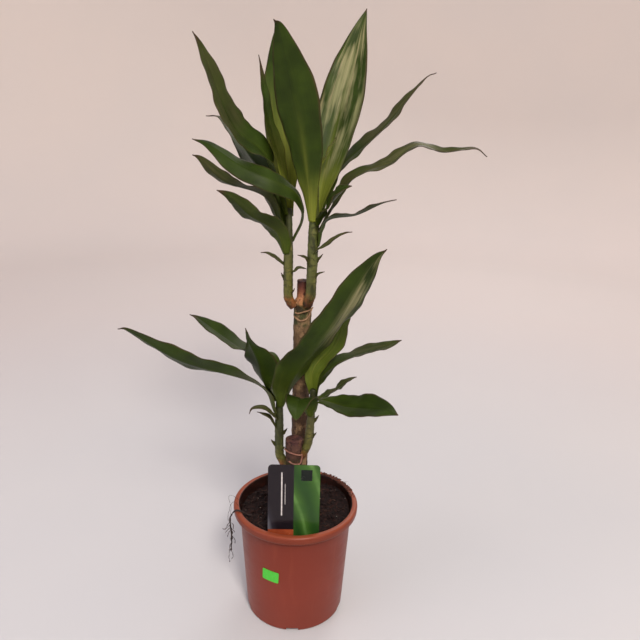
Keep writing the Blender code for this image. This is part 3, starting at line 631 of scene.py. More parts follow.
# Each strand goes round its cane by headings in degrees and heights in millimetres
ROOTS_TALL = [
    [(224, 329), (245, 328.5), (270, 330), (290, 331), (307, 331.5), (330, 332.5), (350, 333)],
    [(216, 325), (240, 323), (262, 321.5), (285, 322.5), (305, 325), (322, 329.5), (332, 332.5)]]
ROOTS_SHORT = [
    [(200, 192), (235, 191.5), (270, 190), (300, 188), (325, 187)],
    [(323, 188), (322, 183), (312, 178.5), (290, 178), (265, 179), (240, 181)]]


def hugging(cane, turns):
    """Places of a strand that lies on a cane, from headings and heights in millimetres."""
    reach = cane["radius"] + ROOT_HUG + ROOT_RADIUS
    places = []
    for heading, height in turns:
        angle = radians(heading)
        outward = Vector((cos(angle) * reach, sin(angle) * reach, 0))
        places.append(cane_place(cane, height * MM) + outward)
    return places


def root_loop(name, cane, strands, finish):
    rods = []
    for turns in strands:
        path = smooth_path(hugging(cane, turns), 0.0007)
        radii = [ROOT_RADIUS * (1 + 0.28 * noise.noise(spot * 420)) for spot in path]
        radii[0] = radii[-1] = ROOT_RADIUS * 0.5
        rods.append(rod("strand", path, radii, 3))
    piece = gathered(name, rods)
    piece.data.materials.append(finish)
    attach(piece, "root")
    return piece


ROOT_STOPS = (0.28, 0.48, 0.70)
ROOT_BUMPS = (1600.0, 0.00012)
root_skin = grained("dry_root", 0.7, (380.0, 4.0, 0.65), ("#5A3E2C", "#866648", "#A68868"),
                    ROOT_STOPS, (0.6, 0.8), ROOT_BUMPS)
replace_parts(root_loop("tall_root_loops", TALL_CANE, ROOTS_TALL, root_skin), "roots_tall")
pink_skin = grained("fresh_root", 0.6, (300.0, 4.0, 0.65), ("#5E3A30", "#8A5C4C", "#A87C68"),
                    ROOT_STOPS, (0.5, 0.75), ROOT_BUMPS)
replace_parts(root_loop("short_root_loops", SHORT_CANE, ROOTS_SHORT, pink_skin), "roots_short")


# The leaves. Each is one tough glossy blade that clasps its stem, narrows to a neck, widens and
# runs out to a dry brown tip: smooth fibres run its whole length, and its margins are waved.
BLADE_THICKNESS = 0.0008
LEAF_FOOT_WIDTH = 0.0090
LEAF_WIDEST = 0.55
LEAF_NECK = 1.4
LEAF_POINT = 1.7
LEAF_TIP_WIDTH = 0.0007
LEAF_FOLD = 13
LEAF_CURL_END = 0.22
LEAF_GLOSS = 0.10
SHOOT_TIP_LENGTH = 0.045

# Each shoot: its cane, its radius below and at its tip, and the points of its axis
SHOOTS = {
    "upper_left": {
        "cane": TALL_CANE, "radius": 0.0046, "tip_radius": 0.0028,
        "knots": [(-0.0045, 0.0065, 0.334), (-0.0085, 0.0060, 0.340), (-0.0102, 0.0058, 0.352),
                  (-0.0100, 0.0060, 0.428)]},
    "upper_right": {
        "cane": TALL_CANE, "radius": 0.0050, "tip_radius": 0.0028,
        "knots": [(0.0088, 0.0020, 0.338), (0.0106, -0.0012, 0.346), (0.0118, -0.0020, 0.356),
                  (0.0142, -0.0020, 0.452)]},
    "lower_left": {
        "cane": SHORT_CANE, "radius": 0.0044, "tip_radius": 0.0028,
        "knots": [(-0.0090, -0.0125, 0.170), (-0.0145, -0.0130, 0.180), (-0.0168, -0.0132, 0.192),
                  (-0.0168, -0.0130, 0.262)]},
    "lower_right": {
        "cane": SHORT_CANE, "radius": 0.0044, "tip_radius": 0.0028,
        "knots": [(0.0045, -0.0125, 0.182), (0.0098, -0.0130, 0.192), (0.0130, -0.0132, 0.206),
                  (0.0160, -0.0130, 0.256)]},
}

# Every leaf: the height and heading where it leaves its stem, its width, its widest place, neck
# and foot, its roll halfway and at the tip, and its waves; then its looks: whether it is young or
# given painted light, a paler foot lit as if light shone through it, how pale its foot is and how
# far, the strength, start, end and side of its tan streaks of painted reflection, the same of its
# dusky part, and the share of its dry tip; last its midrib's way in millimetres.
LEAVES = {
    "upper_left_1": dict(
        foot=0.422, heading=214, width=0.034, widest=0.44, foot_width=0.0075, roll=(-53, -72),
        waves=(4, 0.0015), dusk=(0.55, 0.5, 0.95, 0), tip=0.08,
        way=[(-32, 3, 475), (-59, -9, 501), (-81, -20, 559), (-88, -23, 573)]),
    "upper_left_2": dict(
        foot=0.406, heading=134, width=0.03, widest=0.5, roll=(0, 10), tip=0.14,
        way=[(-28, 20, 444), (-53, 40, 476), (-77, 55, 504), (-93, 58, 507)]),
    "upper_left_3": dict(
        foot=0.398, heading=8, width=0.023, widest=0.6, neck=2.4, foot_width=0.008, roll=(-55, -40),
        pale_end=0.3,
        way=[(3, 2, 420), (-1, -8, 440), (-12, -15, 450), (-28, -20, 457), (-52, -17, 467),
             (-80, -8, 484), (-95, -4, 488)]),
    "upper_left_4": dict(
        foot=0.4, heading=212, width=0.024, widest=0.53, foot_width=0.008, roll=(6, 53),
        dusk=(0.7, 0.25, 0.98, 0), tip=0.07,
        way=[(-30, -2, 438), (-66, -12, 453), (-84, -22, 472), (-91, -26, 476)]),
    "upper_left_5": dict(
        foot=0.386, heading=232, width=0.028, widest=0.37, neck=1.0, roll=(12, 44),
        dusk=(0.3, 0.2, 0.9, 0), tip=0.12,
        way=[(-21, -3, 408), (-44, -13, 424), (-59, -24, 441), (-71, -27, 447)]),
    "upper_left_6": dict(
        foot=0.42, heading=68, width=0.038, widest=0.51, foot_width=0.0075, roll=(0, 2),
        painted_light=True, pale=1.0, pale_end=0.8, tip=0.05,
        way=[(-14, 27, 478), (-19, 43, 523), (-26, 68, 569), (-27, 77, 590)]),
    "upper_left_7": dict(
        foot=0.426, heading=145, width=0.016, widest=0.45, foot_width=0.005, painted_light=True, pale=1.0,
        pale_end=0.7, tip=0.2,
        way=[(-16, 14, 457), (-31, 21, 509), (-36, 24, 544), (-39, 24, 560)]),
    "upper_right_1": dict(
        foot=0.418, heading=240, width=0.039, widest=0.62, roll=(10, 15), waves=(3, 0.0015),
        painted_light=True, pale=0.9, pale_end=0.32, tip=0.04,
        way=[(7, -18, 458), (-1, -37, 510), (-14, -58, 569), (-19, -66, 578)]),
    "upper_right_2": dict(
        foot=0.423, heading=66, width=0.043, widest=0.5, neck=1.0, foot_width=0.011, roll=(10, 20),
        waves=(3, 0.0015), painted_light=True, pale=0.8, pale_end=0.34, tan=(1.0, 0.2, 0.93, 0), tip=0.03,
        way=[(23, 18, 464), (36, 43, 520), (50, 72, 580), (58, 81, 607)]),
    "upper_right_3": dict(
        foot=0.413, heading=72, width=0.03, widest=0.4, neck=1.8, foot_width=0.006, roll=(-48, -46),
        waves=(4, 0.0015), dusk=(0.8, 0.5, 0.99, 0), tip=0.13,
        way=[(30, 28, 456), (75, 35, 499), (110, 44, 542), (123, 50, 550)]),
    "upper_right_4": dict(
        foot=0.409, heading=14, width=0.024, widest=0.36, neck=2.2, foot_width=0.006, roll=(8, 23),
        waves=(4, 0.0015), tan=(0.4, 0.45, 0.75, 0), dusk=(0.7, 0.05, 0.99, 0), tip=0.15,
        way=[(41, 3, 449), (58, 2, 463), (80, 1, 471), (103, 0, 487), (126, -2, 482),
             (152, -5, 486), (164, -6, 479)]),
    "upper_right_5": dict(
        foot=0.415, heading=316, width=0.028, widest=0.54, neck=1.3, foot_width=0.0055,
        roll=(42, 25), tip=0.08,
        way=[(24, -14, 431), (31, -22, 441), (38, -30, 450), (45, -35, 454)]),
    "upper_right_6": dict(
        foot=0.3955, heading=343, width=0.021, widest=0.49, neck=1.8, foot_width=0.006,
        roll=(-4, -4), pale=0.3, dusk=(0.5, 0.55, 0.99, 0), tip=0.16,
        way=[(25, -10, 420), (51, -15, 427), (72, -20, 438), (85, -23, 442)]),
    "upper_right_spear": dict(
        foot=0.452, heading=350, width=0.012, widest=0.5, young=True, pale=0.8, pale_end=1.2,
        tan=(0.5, 0.3, 1.0, 0), tip=0.04,
        way=[(16, -2, 462), (22, -2, 474), (28, -1, 486), (31, 0, 492)]),
    "lower_left_1": dict(
        foot=0.23, heading=198, width=0.036, widest=0.58, roll=(39, 37), waves=(3, 0.0015),
        dusk=(0.6, 0.0, 0.34, 0),
        way=[(-37, -20, 263), (-107, -28, 288), (-151, -36, 319), (-162, -38, 322)]),
    "lower_left_2": dict(
        foot=0.254, heading=125, width=0.028, widest=0.59, roll=(24, 6), tip=0.1,
        way=[(-26, -3, 283), (-56, 9, 288), (-97, 20, 313), (-109, 23, 318)]),
    "lower_left_3": dict(
        foot=0.243, heading=184, width=0.041, widest=0.48, roll=(54, 19), tip=0.05,
        way=[(-32, -11, 261), (-36, -16, 283), (-45, -22, 307), (-48, -24, 321)]),
    "lower_left_4": dict(
        foot=0.238, heading=312, width=0.055, widest=0.36, neck=1.15, foot_width=0.0105,
        roll=(2, -42), waves=(4, 0.0015), tan=(1.0, 0.42, 0.98, 1), tip=0.03,
        way=[(-1, -36, 280), (33, -56, 335), (62, -76, 396), (73, -82, 410)]),
    "lower_right_1": dict(
        foot=0.25, heading=95, width=0.03, widest=0.63, roll=(-49, -59), pale=1.0, pale_end=1.3,
        tip=0.05,
        way=[(16, -5, 274), (35, 4, 296), (47, 14, 323), (57, 18, 334)]),
    "lower_right_2": dict(
        foot=0.245, heading=25, width=0.034, widest=0.5, foot_width=0.007, roll=(-17, 10),
        dusk=(0.5, 0.55, 0.95, 0), tip=0.07,
        way=[(22, -8, 262), (32, -7, 275), (50, -5, 286), (81, 2, 295), (101, 4, 303)]),
    "lower_right_3": dict(
        foot=0.242, heading=58, width=0.015, widest=0.53, foot_width=0.007, roll=(-36, -11),
        dusk=(0.6, 0.3, 0.99, 0), tip=0.1,
        way=[(25, -4, 244), (39, 1, 250), (52, 7, 259), (59, 9, 261)]),
    "lower_right_4": dict(
        foot=0.233, heading=330, width=0.034, widest=0.61, neck=2.4, roll=(15, 35), tip=0.04,
        way=[(24, -21, 248), (49, -38, 250), (81, -54, 256), (94, -59, 253)]),
    "lower_right_5": dict(
        foot=0.229, heading=250, width=0.031, neck=1.6, roll=(5, -5), tip=0.05,
        way=[(8, -28, 249), (5, -40, 258), (2, -51, 254), (1, -57, 243)]),
}


def ease(t):
    """A smooth step from 0 to 1."""
    t = min(1.0, max(0.0, t))
    return t * t * (3 - 2 * t)


def through(first, middle, last, u, bend):
    """Eases from the first value to the middle one at the bend, and on to the last."""
    if u < bend:
        return first + (middle - first) * ease(u / bend)
    return middle + (last - middle) * ease((u - bend) / (1 - bend))


def shoot_place(shoot, height):
    """The shoot's axis at a height, on its straight stretch."""
    low, high = Vector(shoot["knots"][-2]), Vector(shoot["knots"][-1])
    return low.lerp(high, (height - low.z) / (high.z - low.z))


def shoot_radius(shoot, height):
    """A shoot keeps its thickness and draws in over its last stretch."""
    share = min(1.0, max(0.0, (shoot["knots"][-1][2] - height) / SHOOT_TIP_LENGTH))
    return shoot["tip_radius"] + (shoot["radius"] - shoot["tip_radius"]) * share


def leaf_width(u, leaf, foot_width):
    """Narrow at the foot, widest past the middle, then drawn to a point."""
    widest = leaf.get("widest", LEAF_WIDEST)
    share = sin(pi / 2 * min(1.0, u / widest)) ** leaf.get("neck", LEAF_NECK)
    grown = foot_width + (leaf["width"] - foot_width) * share
    past = max(0.0, (u - widest) / (1 - widest))
    return max(LEAF_TIP_WIDTH, grown * (1 - past ** LEAF_POINT))


def even_path(knots, count):
    """Evenly spaced places along a smooth curve through the knots."""
    fine = smooth_path(knots, 0.001)
    travelled = [0.0]
    for before, after in zip(fine, fine[1:]):
        travelled.append(travelled[-1] + (after - before).length)
    places = []
    at = 0
    for i in range(count + 1):
        wanted = travelled[-1] * i / count
        while at < len(fine) - 2 and travelled[at + 1] < wanted:
            at += 1
        share = (wanted - travelled[at]) / (travelled[at + 1] - travelled[at])
        places.append(fine[at].lerp(fine[at + 1], share))
    return places


def leaf_frames(foot, leaf, count):
    """Places and directions along a leaf's midrib, from its foot to its tip."""
    places = even_path([foot] + [Vector(k) * MM for k in leaf["way"]], count)
    heading = radians(leaf["heading"])
    across = Vector((-sin(heading), cos(heading), 0.0))
    reach = max(1, count // 14)
    frames = []
    for i, spot in enumerate(places):
        u = i / count
        along = (places[min(i + reach, count)] - places[max(i - reach, 0)]).normalized()
        side = (across - along * along.dot(across)).normalized()
        up = along.cross(side)
        roll = radians(through(0.0, *leaf.get("roll", (0, 0)), u, 0.5))
        level = cos(roll) * side + sin(roll) * up
        frames.append((u, spot, level, cos(roll) * up - sin(roll) * side))
    return frames


def window(u, start, end, soft=0.12):
    """1 between start and end, with soft ends."""
    return ease((u - start) / soft + 0.5) * ease((end - u) / soft + 0.5)


def leaf_tones(u, v, leaf):
    """How pale, how strongly painted with reflection, how dusky and how dry the blade is at a place on
    it.
    """
    rib = exp(-(v / 0.16) ** 2)
    pale = leaf.get("pale", 0.45) * (1 - ease(u / leaf.get("pale_end", 0.42)))
    pale = max(pale, 0.35 * rib * (1 - ease(u / 0.75)))
    tones = [pale]
    for name in ("tan", "dusk"):
        strength, start, end, side = leaf.get(name, (0.0, 0.0, 1.0, 0))
        lean = 1.0 if side == 0 else ease(0.70 + side * v * 3.0)
        if name == "tan":
            lean *= 1 - ease((abs(v) - 0.76) / 0.22)
        tones.append(strength * window(u, start, end) * lean)
    tip = leaf.get("tip", 0.06)
    dry = ease((u - (1 - tip)) / (tip * 0.8))
    edge = ease((abs(v) - 0.93) / 0.07) * (0.35 + 0.55 * ease((u - 0.25) / 0.5))
    tones.append(max(dry, edge))
    return tones


def blade(name, foot, leaf, clasp, spacing=0.0017, across=16):
    """A blade from a flat grid, bent along its midrib, folded, waved, and given its thickness."""
    foot_width = leaf.get("foot_width", LEAF_FOOT_WIDTH)
    length = sum((Vector(b) - Vector(a)).length for a, b in zip(leaf["way"], leaf["way"][1:])) * MM
    length += (Vector(leaf["way"][0]) * MM - foot).length
    steps = max(14, round(length / spacing))
    let_go()
    bpy.ops.mesh.primitive_grid_add(x_subdivisions=steps, y_subdivisions=across, size=1.0)
    piece = bpy.context.object
    piece.name = name
    mesh = piece.data
    frames = leaf_frames(foot, leaf, steps)
    waves, wave_height = leaf.get("waves", (3, 0.0012))
    places = []
    tones = []
    fullness = []
    for corner in mesh.vertices:
        u, spot, side, up = frames[round((corner.co.x + 0.5) * steps)]
        v = corner.co.y * 2
        half = leaf_width(u, leaf, foot_width) / 2
        open_share = min(1.0, u / LEAF_CURL_END)
        curl = (1 - open_share) ** 2 / clasp
        fold = radians(leaf.get("fold", LEAF_FOLD)) * open_share
        reach = v * half * cos(fold)
        lift = abs(v) * half * sin(fold)
        if curl > 1e-6:
            lift += (1 - cos(reach * curl)) / curl
            reach = sin(reach * curl) / curl
        ripple = sin(2 * pi * waves * u + (0.9 if v > 0 else 0.0))
        ripple += 0.30 * sin(2 * pi * waves * 2.7 * u + (2.1 if v > 0 else 0.6)) * abs(v)
        lift += ripple * wave_height * v * v * open_share * (1 - u ** 6)
        groove = 0.00035 * exp(-(v / 0.09) ** 2) * ease(u / 0.1) * ease((1 - u) / 0.2)
        places.extend(spot + side * reach + up * (lift - groove))
        tones.append(leaf_tones(u, v, leaf))
        fullness.append(1.0 - 0.55 * v ** 4)
    mesh.vertices.foreach_set("co", places)
    for i, key in enumerate(("pale", "painted_reflection", "dusk", "dry")):
        made = mesh.attributes.new(key, "FLOAT", "POINT")
        made.data.foreach_set("value", [tone[i] for tone in tones])
    full = piece.vertex_groups.new(name="full")
    for i, weight in enumerate(fullness):
        full.add([i], weight, "REPLACE")
    mesh.update()
    thick = piece.modifiers.new("thickness", "SOLIDIFY")
    thick.thickness = BLADE_THICKNESS
    thick.offset = 0.0
    thick.vertex_group = "full"
    thick.material_offset = 1
    thick.material_offset_rim = 1
    apply_all(piece)
    bpy.ops.object.shade_smooth()
    return piece


def leaf_finish(name, dark, mid, rough, streaks, gloss=LEAF_GLOSS):
    """Green in fine long fibres, pale at the foot, with tan streaks of painted reflection, and dusky
    and dry parts.
    """
    made = new_finish(name, rough, gloss)

    def tone(key):
        return step("Attribute", {"attribute_name": key}).outputs["Fac"]

    def along(length, width, detail=4.0, fine=0.6):
        """Noise, stretched along the blade and across it."""
        return speckle(1.0, detail, fine, (length, width, 1), "UV")

    base = ramp(speckle(45.0, 3.0), (0.35, dark), (0.68, mid))
    grain = along(2.5, 95)
    base = over(base, grain, 0.30, 0.75, 0.30, streaks[0])
    stripe = along(1.4, 15, 3.0)
    pale = sums("MULTIPLY", tone("pale"), ramp(stripe, (0.34, 0.60), (0.60, 1.0)))
    base = blend(pale, base, streaks[1])
    tawny = sums("MULTIPLY", tone("pale"), ramp(stripe, (0.56, 0.0), (0.68, 0.55)))
    base = blend(tawny, base, "#746C34")
    # Painted reflection: khaki streaks with whiter painted glints, where the glossy blade would mirror
    # the pale room.
    patch = wavered(along(3.2, 2.4, 3.0, 0.5), along(2.3, 7.5), 0.8)
    painted_reflection = sums("MULTIPLY", tone("painted_reflection"), ramp(patch, (0.41, 0.0), (0.62, 0.9)))
    base = blend(painted_reflection, base, ramp(stripe, (0.3, "#686E46"), (0.7, "#94906A")))
    painted_glint = sums("MULTIPLY", painted_reflection, ramp(stripe, (0.54, 0.0), (0.68, 0.7)))
    base = blend(painted_glint, base, "#B49C7C")
    worn = along(4, 7)
    dusk = sums("MULTIPLY", tone("dusk"), ramp(worn, (0.32, 0.15), (0.64, 1.0)))
    base = blend(dusk, base, ramp(grain, (0.3, "#3C3A24"), (0.7, "#565236")))
    base = blend(tone("dry"), base, ramp(worn, (0.3, "#2A1F16"), (0.7, "#4E3D2B")))
    wear(base, worn, rough - 0.05, rough + 0.10)
    bumps(grain, 0.00018, 0.7)
    return made


leaf_top = leaf_finish("leaf_upper_face", "#1C270A", "#2C3C0F", 0.42, ("#3C5018", "#57661E"))
leaf_under = leaf_finish("leaf_lower_face", "#1C270C", "#2A3812", 0.52, ("#364818", "#57641F"), 0.04)
# Painted light: a brighter copy of the upper face, its foot lit as if light shone through the blade and
# no shadow fell on it.
painted_light_top = leaf_finish("painted_light_upper_face", "#1E2A0B", "#2E3E10", 0.42, ("#3E5219", "#868F36"))
young_top = leaf_finish("young_upper_face", "#4C5A1E", "#5C6C28", 0.36, ("#76843C", "#7C8434"))
young_under = leaf_finish("young_lower_face", "#4A561E", "#586626", 0.42, ("#6E7A38", "#7A8036"))

for name, leaf in LEAVES.items():
    shoot = SHOOTS[name.rsplit("_", 1)[0]]
    young = leaf.get("young", False)
    clasp = shoot_radius(shoot, leaf["foot"]) + GAP + BLADE_THICKNESS / 2
    heading = radians(leaf["heading"])
    foot = shoot_place(shoot, leaf["foot"])
    foot += Vector((0, 0, 2 * GAP)) if young else Vector((cos(heading), sin(heading), 0)) * clasp
    piece = blade("blade_" + name, foot, leaf, clasp)
    # Leaves given painted light take the brighter copy of the upper face.
    painted_light = painted_light_top if leaf.get("painted_light") else leaf_top
    piece.data.materials.append(young_top if young else painted_light)
    piece.data.materials.append(young_under if young else leaf_under)
    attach(piece, "root")
    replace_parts(piece, "leaf_" + name)


# The stems. Green shoots that broke from the canes, banded by the scars of the leaves they have
# shed, with the dried stubs and small bracts of the last ones still standing out from them.
# Each bract: its width and its points in millimetres
BRACTS = {
    "upper_left": [
        (4.0, [(-12, 6, 370), (-15, 5, 376), (-19, 4, 380),
               (-25, 3, 384), (-30, 2, 387), (-36, 2, 387)]),
        (3.5, [(-8, 4, 367), (-4, 1, 371), (1, 0, 374), (7, 0, 373)]),
        (3.0, [(-12, 6, 357), (-14, 6, 361), (-17, 6, 367)]),
        (3.0, [(-9, 5, 345), (-6, 3, 349), (-4, 2, 353)])],
    "upper_right": [
        (4.5, [(13, -4, 386), (17, -8, 393), (27, -10, 400),
               (36, -11, 407), (42, -12, 410), (48, -13, 411)]),
        (3.5, [(13, -3, 375), (16, -3, 380), (22, -3, 388)]),
        (3.0, [(13, -3, 360), (15, -4, 365), (19, -5, 370), (24, -6, 372)]),
        (4.0, [(11, -4, 372), (8, -6, 381), (5, -8, 386), (-1, -10, 388)])],
    "lower_left": [
        (5.0, [(-18, -14, 222), (-21, -20, 230), (-27, -24, 238), (-34, -26, 242), (-42, -27, 241),
               (-45, -27, 235)]),
        (4.5, [(-19, -14, 211), (-22, -17, 221), (-27, -19, 229), (-33, -21, 233), (-38, -22, 235)]),
        (3.0, [(-19, -14, 193), (-22, -14, 197), (-25, -14, 201)]),
        (3.0, [(-15, -14, 206), (-12, -14, 209), (-9, -14, 214)]),
        (3.0, [(-16, -15, 190), (-13, -16, 192), (-11, -17, 195)])],
    "lower_right": [
        (3.0, [(14, -14, 202), (17, -14, 206), (20, -14, 210)]),
        (3.0, [(15, -14, 220), (19, -14, 224), (22, -14, 229)])],
}
SCAR_SPACING = 0.0058
SCAR_DEPTH = 0.00022
BRACT_ROLL = 45
BRACT_FULLNESS = 1.15
BRACT_FOOT = 0.8
STEM_BASE_SPAN = 0.110

# Each stem's green low down and high up
STEM_GREENS = {
    "upper_left": ("#62622A", "#41462A"), "upper_right": ("#50542A", "#525A2A"),
    "lower_left": ("#3C4222", "#394023"), "lower_right": ("#4C4A24", "#353922")}


def stem_finish(name, foot_height, low_green, high_green):
    """Olive green with darker scars, tan at the foot."""
    made = new_finish(name, 0.48, 0.3)
    height = wavered(height_above_ground(), speckle(110.0, 3.0), 0.012)
    share = sums("DIVIDE", sums("SUBTRACT", height, foot_height), STEM_BASE_SPAN)
    base = ramp(share, (0.0, "#523022"), (0.05, "#84542E"), (0.11, "#5A5A2A"), (0.25, low_green),
                (0.62, high_green), (1.0, high_green))
    mottle = speckle(120.0, 4.0, 0.65, at=(1, 1, 0.5))
    base = over(base, mottle, 0.46, 0.66, 0.85, "#2A2E18")
    flake = speckle(150.0, 4.0, 0.65, at=(1.2, 1.2, 0.6))
    base = over(base, flake, 0.54, 0.70, 0.55, "#72703A")
    phase = sums("MULTIPLY", height, 2 * pi / SCAR_SPACING)
    scar = sums("ADD", sums("MULTIPLY", sums("SINE", phase, 0.0), 0.5), 0.5)
    kept = ramp(flake, (0.42, 0.0), (0.60, 0.75))
    scar = sums("MULTIPLY", sums("POWER", scar, 7.0), kept)
    base = blend(scar, base, "#2A2C18")
    wear(base, mottle, 0.42, 0.60)
    bumps(speckle(1.0, 3.0, at=(900, 900, 120)), 0.00015, 0.6)
    return made


for name, shoot in SHOOTS.items():
    path = smooth_path(shoot["knots"], 0.0009)
    radii = []
    for spot in path:
        scar = (0.5 + 0.5 * sin(2 * pi * spot.z / SCAR_SPACING)) ** 6
        radii.append(shoot_radius(shoot, spot.z) + SCAR_DEPTH * scar - 0.00008)
    stem = rod("shoot_" + name, path, radii, 6)
    for corner in stem.data.vertices:
        corner.co += corner.normal * 0.00022 * noise.noise(corner.co * 330)
    skin = stem_finish("stem_" + name + "_skin", shoot["knots"][0][2], *STEM_GREENS[name])
    stem.data.materials.append(skin)
    tongues = []
    for width, points in BRACTS[name]:
        foot = Vector(points[0]) * MM
        run = Vector(points[-1]) - Vector(points[0])
        heading = atan2(run.y, run.x)
        roll = BRACT_ROLL * cos(heading)
        leaf = dict(
            heading=degrees(heading), width=width * MM * BRACT_FULLNESS, widest=0.45, roll=(roll, roll),
            waves=(2, 0.0006), fold=12, foot_width=width * MM * BRACT_FOOT, dusk=(0.9, 0.1, 1.0, 0),
            tip=0.25, way=points[1:])
        tongues.append(blade("bract", foot, leaf, 1.0, spacing=0.001, across=6))
    bracts = gathered("bracts_" + name, tongues)
    bracts.data.materials.append(leaf_top)
    bracts.data.materials.append(leaf_under)
    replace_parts(stem, "stem_" + name)
    for piece in (stem, bracts):
        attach(piece, "root")


# The stray roots. One dark wiry root has grown out over the left of the rim and hangs beside the
# wall, knotted and forked, with finer hairs beside it.
STRAY_ROOT_RADIUS = 0.0008
STRAY_ROOT = [(-44, -19, 115.6), (-50, -21, 119), (-57, -23, 124), (-62, -24, 123.5), (-66, -25, 116),
              (-66, -25, 107), (-65, -24, 100), (-65, -24, 90), (-66, -24, 76)]
STRAY_HAIRS = [
    [(-66, -25, 109), (-69, -25, 105), (-72, -25, 103), (-74, -25, 104)],
    [(-65, -25, 113), (-68, -26, 110), (-70, -26, 106), (-71, -26, 103)],
    [(-66, -25, 104), (-69, -26, 102), (-71, -26, 99)],
    [(-66, -25, 111), (-63, -26, 109), (-62, -27, 105)],
    [(-66, -25, 107), (-63, -27, 104), (-61, -28, 101)],
    [(-65, -24, 101), (-68, -24, 98), (-69, -24, 93)],
    [(-65, -24, 96), (-62, -26, 92), (-61, -27, 87)],
    [(-65, -24, 88), (-67, -24, 82), (-68, -24, 72), (-68, -24, 62)],
    [(-66, -24, 78), (-64, -25, 72), (-65, -25, 66)]]
FINE_HAIRS = [
    [(-57, -6, 122), (-62, -5, 127), (-68, -5, 130), (-70, -5, 127), (-69, -5, 122), (-69, -5, 115),
     (-71, -5, 107), (-71, -6, 99)],
    [(-58, -12, 122), (-63, -11, 126), (-67, -10, 122), (-67, -10, 113), (-68, -11, 106)]]

root_dark = grained("dark_root", 0.8, (500.0, 4.0, 0.65), ("#140D0C", "#2A1C19", "#46342C"),
                    (0.3, 0.55, 0.75), (0.7, 0.9), (1800.0, 0.00015))


def wiry(points, radius, wander):
    """A thin root through a few points, a little crooked and uneven."""
    path = smooth_path([Vector(k) * MM for k in points], 0.0009)
    bent = []
    for spot in path:
        here = spot * 260
        sway = Vector((noise.noise(here), noise.noise(here + Vector((9, 0, 0))), 0))
        bent.append(spot + wander * sway)
    radii = [radius * (1.1 + 0.9 * noise.noise(spot * 420)) for spot in path]
    radii[0] = radii[-1] = radius * 0.4
    return rod("wire", bent, radii, 2)


def wiry_set(name, strands):
    rods = [wiry(points, radius, wander) for points, radius, wander in strands]
    piece = gathered(name, rods)
    piece.data.materials.append(root_dark)
    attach(piece, "root")
    return piece


stray = wiry_set("stray_root_strand", [(STRAY_ROOT, STRAY_ROOT_RADIUS, 0.0006)])
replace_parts(stray, "stray_root")
wiry_set("stray_root_hairs", [(hair, 0.00026, 0.0009) for hair in STRAY_HAIRS]
         + [(hair, 0.00014, 0.0008) for hair in FINE_HAIRS])


# The label. A glossy printed plastic card with round corners and a pointed foot, pushed into the
# peat behind the front rim. Its print is plain: a black half with a terracotta strip at its foot, a
# leaf-green half and a dark square; the black half carries a painted reflection at its lower left.
LABEL_WIDTH = 0.0505
LABEL_HEIGHT = 0.094
LABEL_THICKNESS = 0.0007
LABEL_CORNER = 0.004
LABEL_FOOT = (-0.0003, -0.0490, 0.0960)
LABEL_LEAN = 4.0
LABEL_TURN = 0.5
LABEL_GLOSS = 0.25
INK_THICKNESS = 0.00005
INK_CLEAR = 0.00006
POINT_TOP = 0.021
POINT_SHOULDER = (0.72, 0.016)
SPLIT = 0.0
STRIP = 0.0248
SQUARE = {"left": 0.0068, "right": 0.0176, "low": 0.0775, "high": 0.0890}

half = LABEL_WIDTH / 2
outline = [(0.0, 0.0), (half * POINT_SHOULDER[0], POINT_SHOULDER[1]), (half, POINT_TOP)]
corner_arc = arc((half - LABEL_CORNER, LABEL_HEIGHT - LABEL_CORNER), LABEL_CORNER, 0, 90, 8)
outline += corner_arc + [(-x, z) for x, z in reversed(outline[1:] + corner_arc)]
card_mesh = bpy.data.meshes.new("label_card")
card_mesh.from_pydata([(x, 0.0, z) for x, z in outline], [], [tuple(range(len(outline)))])
card = bpy.data.objects.new("label_card", card_mesh)
bpy.context.scene.collection.objects.link(card)
pick(card)
bpy.ops.object.mode_set(mode="EDIT")
for line, normal in ((SPLIT, (1, 0, 0)), (SQUARE["left"], (1, 0, 0)), (SQUARE["right"], (1, 0, 0)),
                     (SQUARE["low"], (0, 0, 1)), (SQUARE["high"], (0, 0, 1)), (STRIP, (0, 0, 1))):
    bpy.ops.mesh.select_all(action="SELECT")
    spot = tuple(line * n for n in normal)
    bpy.ops.mesh.bisect(plane_co=spot, plane_no=normal)
bpy.ops.object.mode_set(mode="OBJECT")

black_print_with_reflection = new_finish("label_black_and_reflection", 0.16, LABEL_GLOSS)
# Painted reflection: the black print lightens to grey towards the lower left, as a glossy card
# mirroring the pale room.
across = step("SeparateXYZ", Vector=place())
painted_reflection_fade = sums("ADD", sums("MULTIPLY", across.outputs["X"], -70.0),
            sums("MULTIPLY", sums("SUBTRACT", across.outputs["Z"], 0.0825), -20.0))
sheen = speckle(60.0, 2.0)
base = ramp(sums("ADD", painted_reflection_fade, sums("MULTIPLY", sheen, 0.10)), (0.35, "#1B161B"),
            (0.70, "#2A272E"), (1.0, "#62646C"))
wear(base, sheen, 0.14, 0.22)
green_print = new_finish("label_green", 0.18, LABEL_GLOSS)
band = step("TexWave", {"bands_direction": "DIAGONAL"}, Vector=place((1, 1, 0.35)), Scale=26.0,
            Distortion=5.0, Detail=1.0).outputs["Fac"]
base = ramp(band, (0.0, "#23421A"), (0.55, "#33551F"), (0.85, "#3D6128"), (1.0, "#547A3C"))
soft = speckle(70.0, 2.0)
base = over(base, soft, 0.45, 0.70, 0.55, "#274A1E")
wear(base, soft, 0.16, 0.24)
square_print = grained("label_square", 0.18, (200.0, 2.0), ("#0A100D", "#121A15"), rough=(0.16, 0.24),
                       specular=LABEL_GLOSS)
strip_print = grained("label_strip", 0.22, (160.0, 2.0), ("#8E3F26", "#A8502F"), rough=(0.18, 0.28))
for made in (green_print, black_print_with_reflection, square_print, strip_print):
    card.data.materials.append(made)
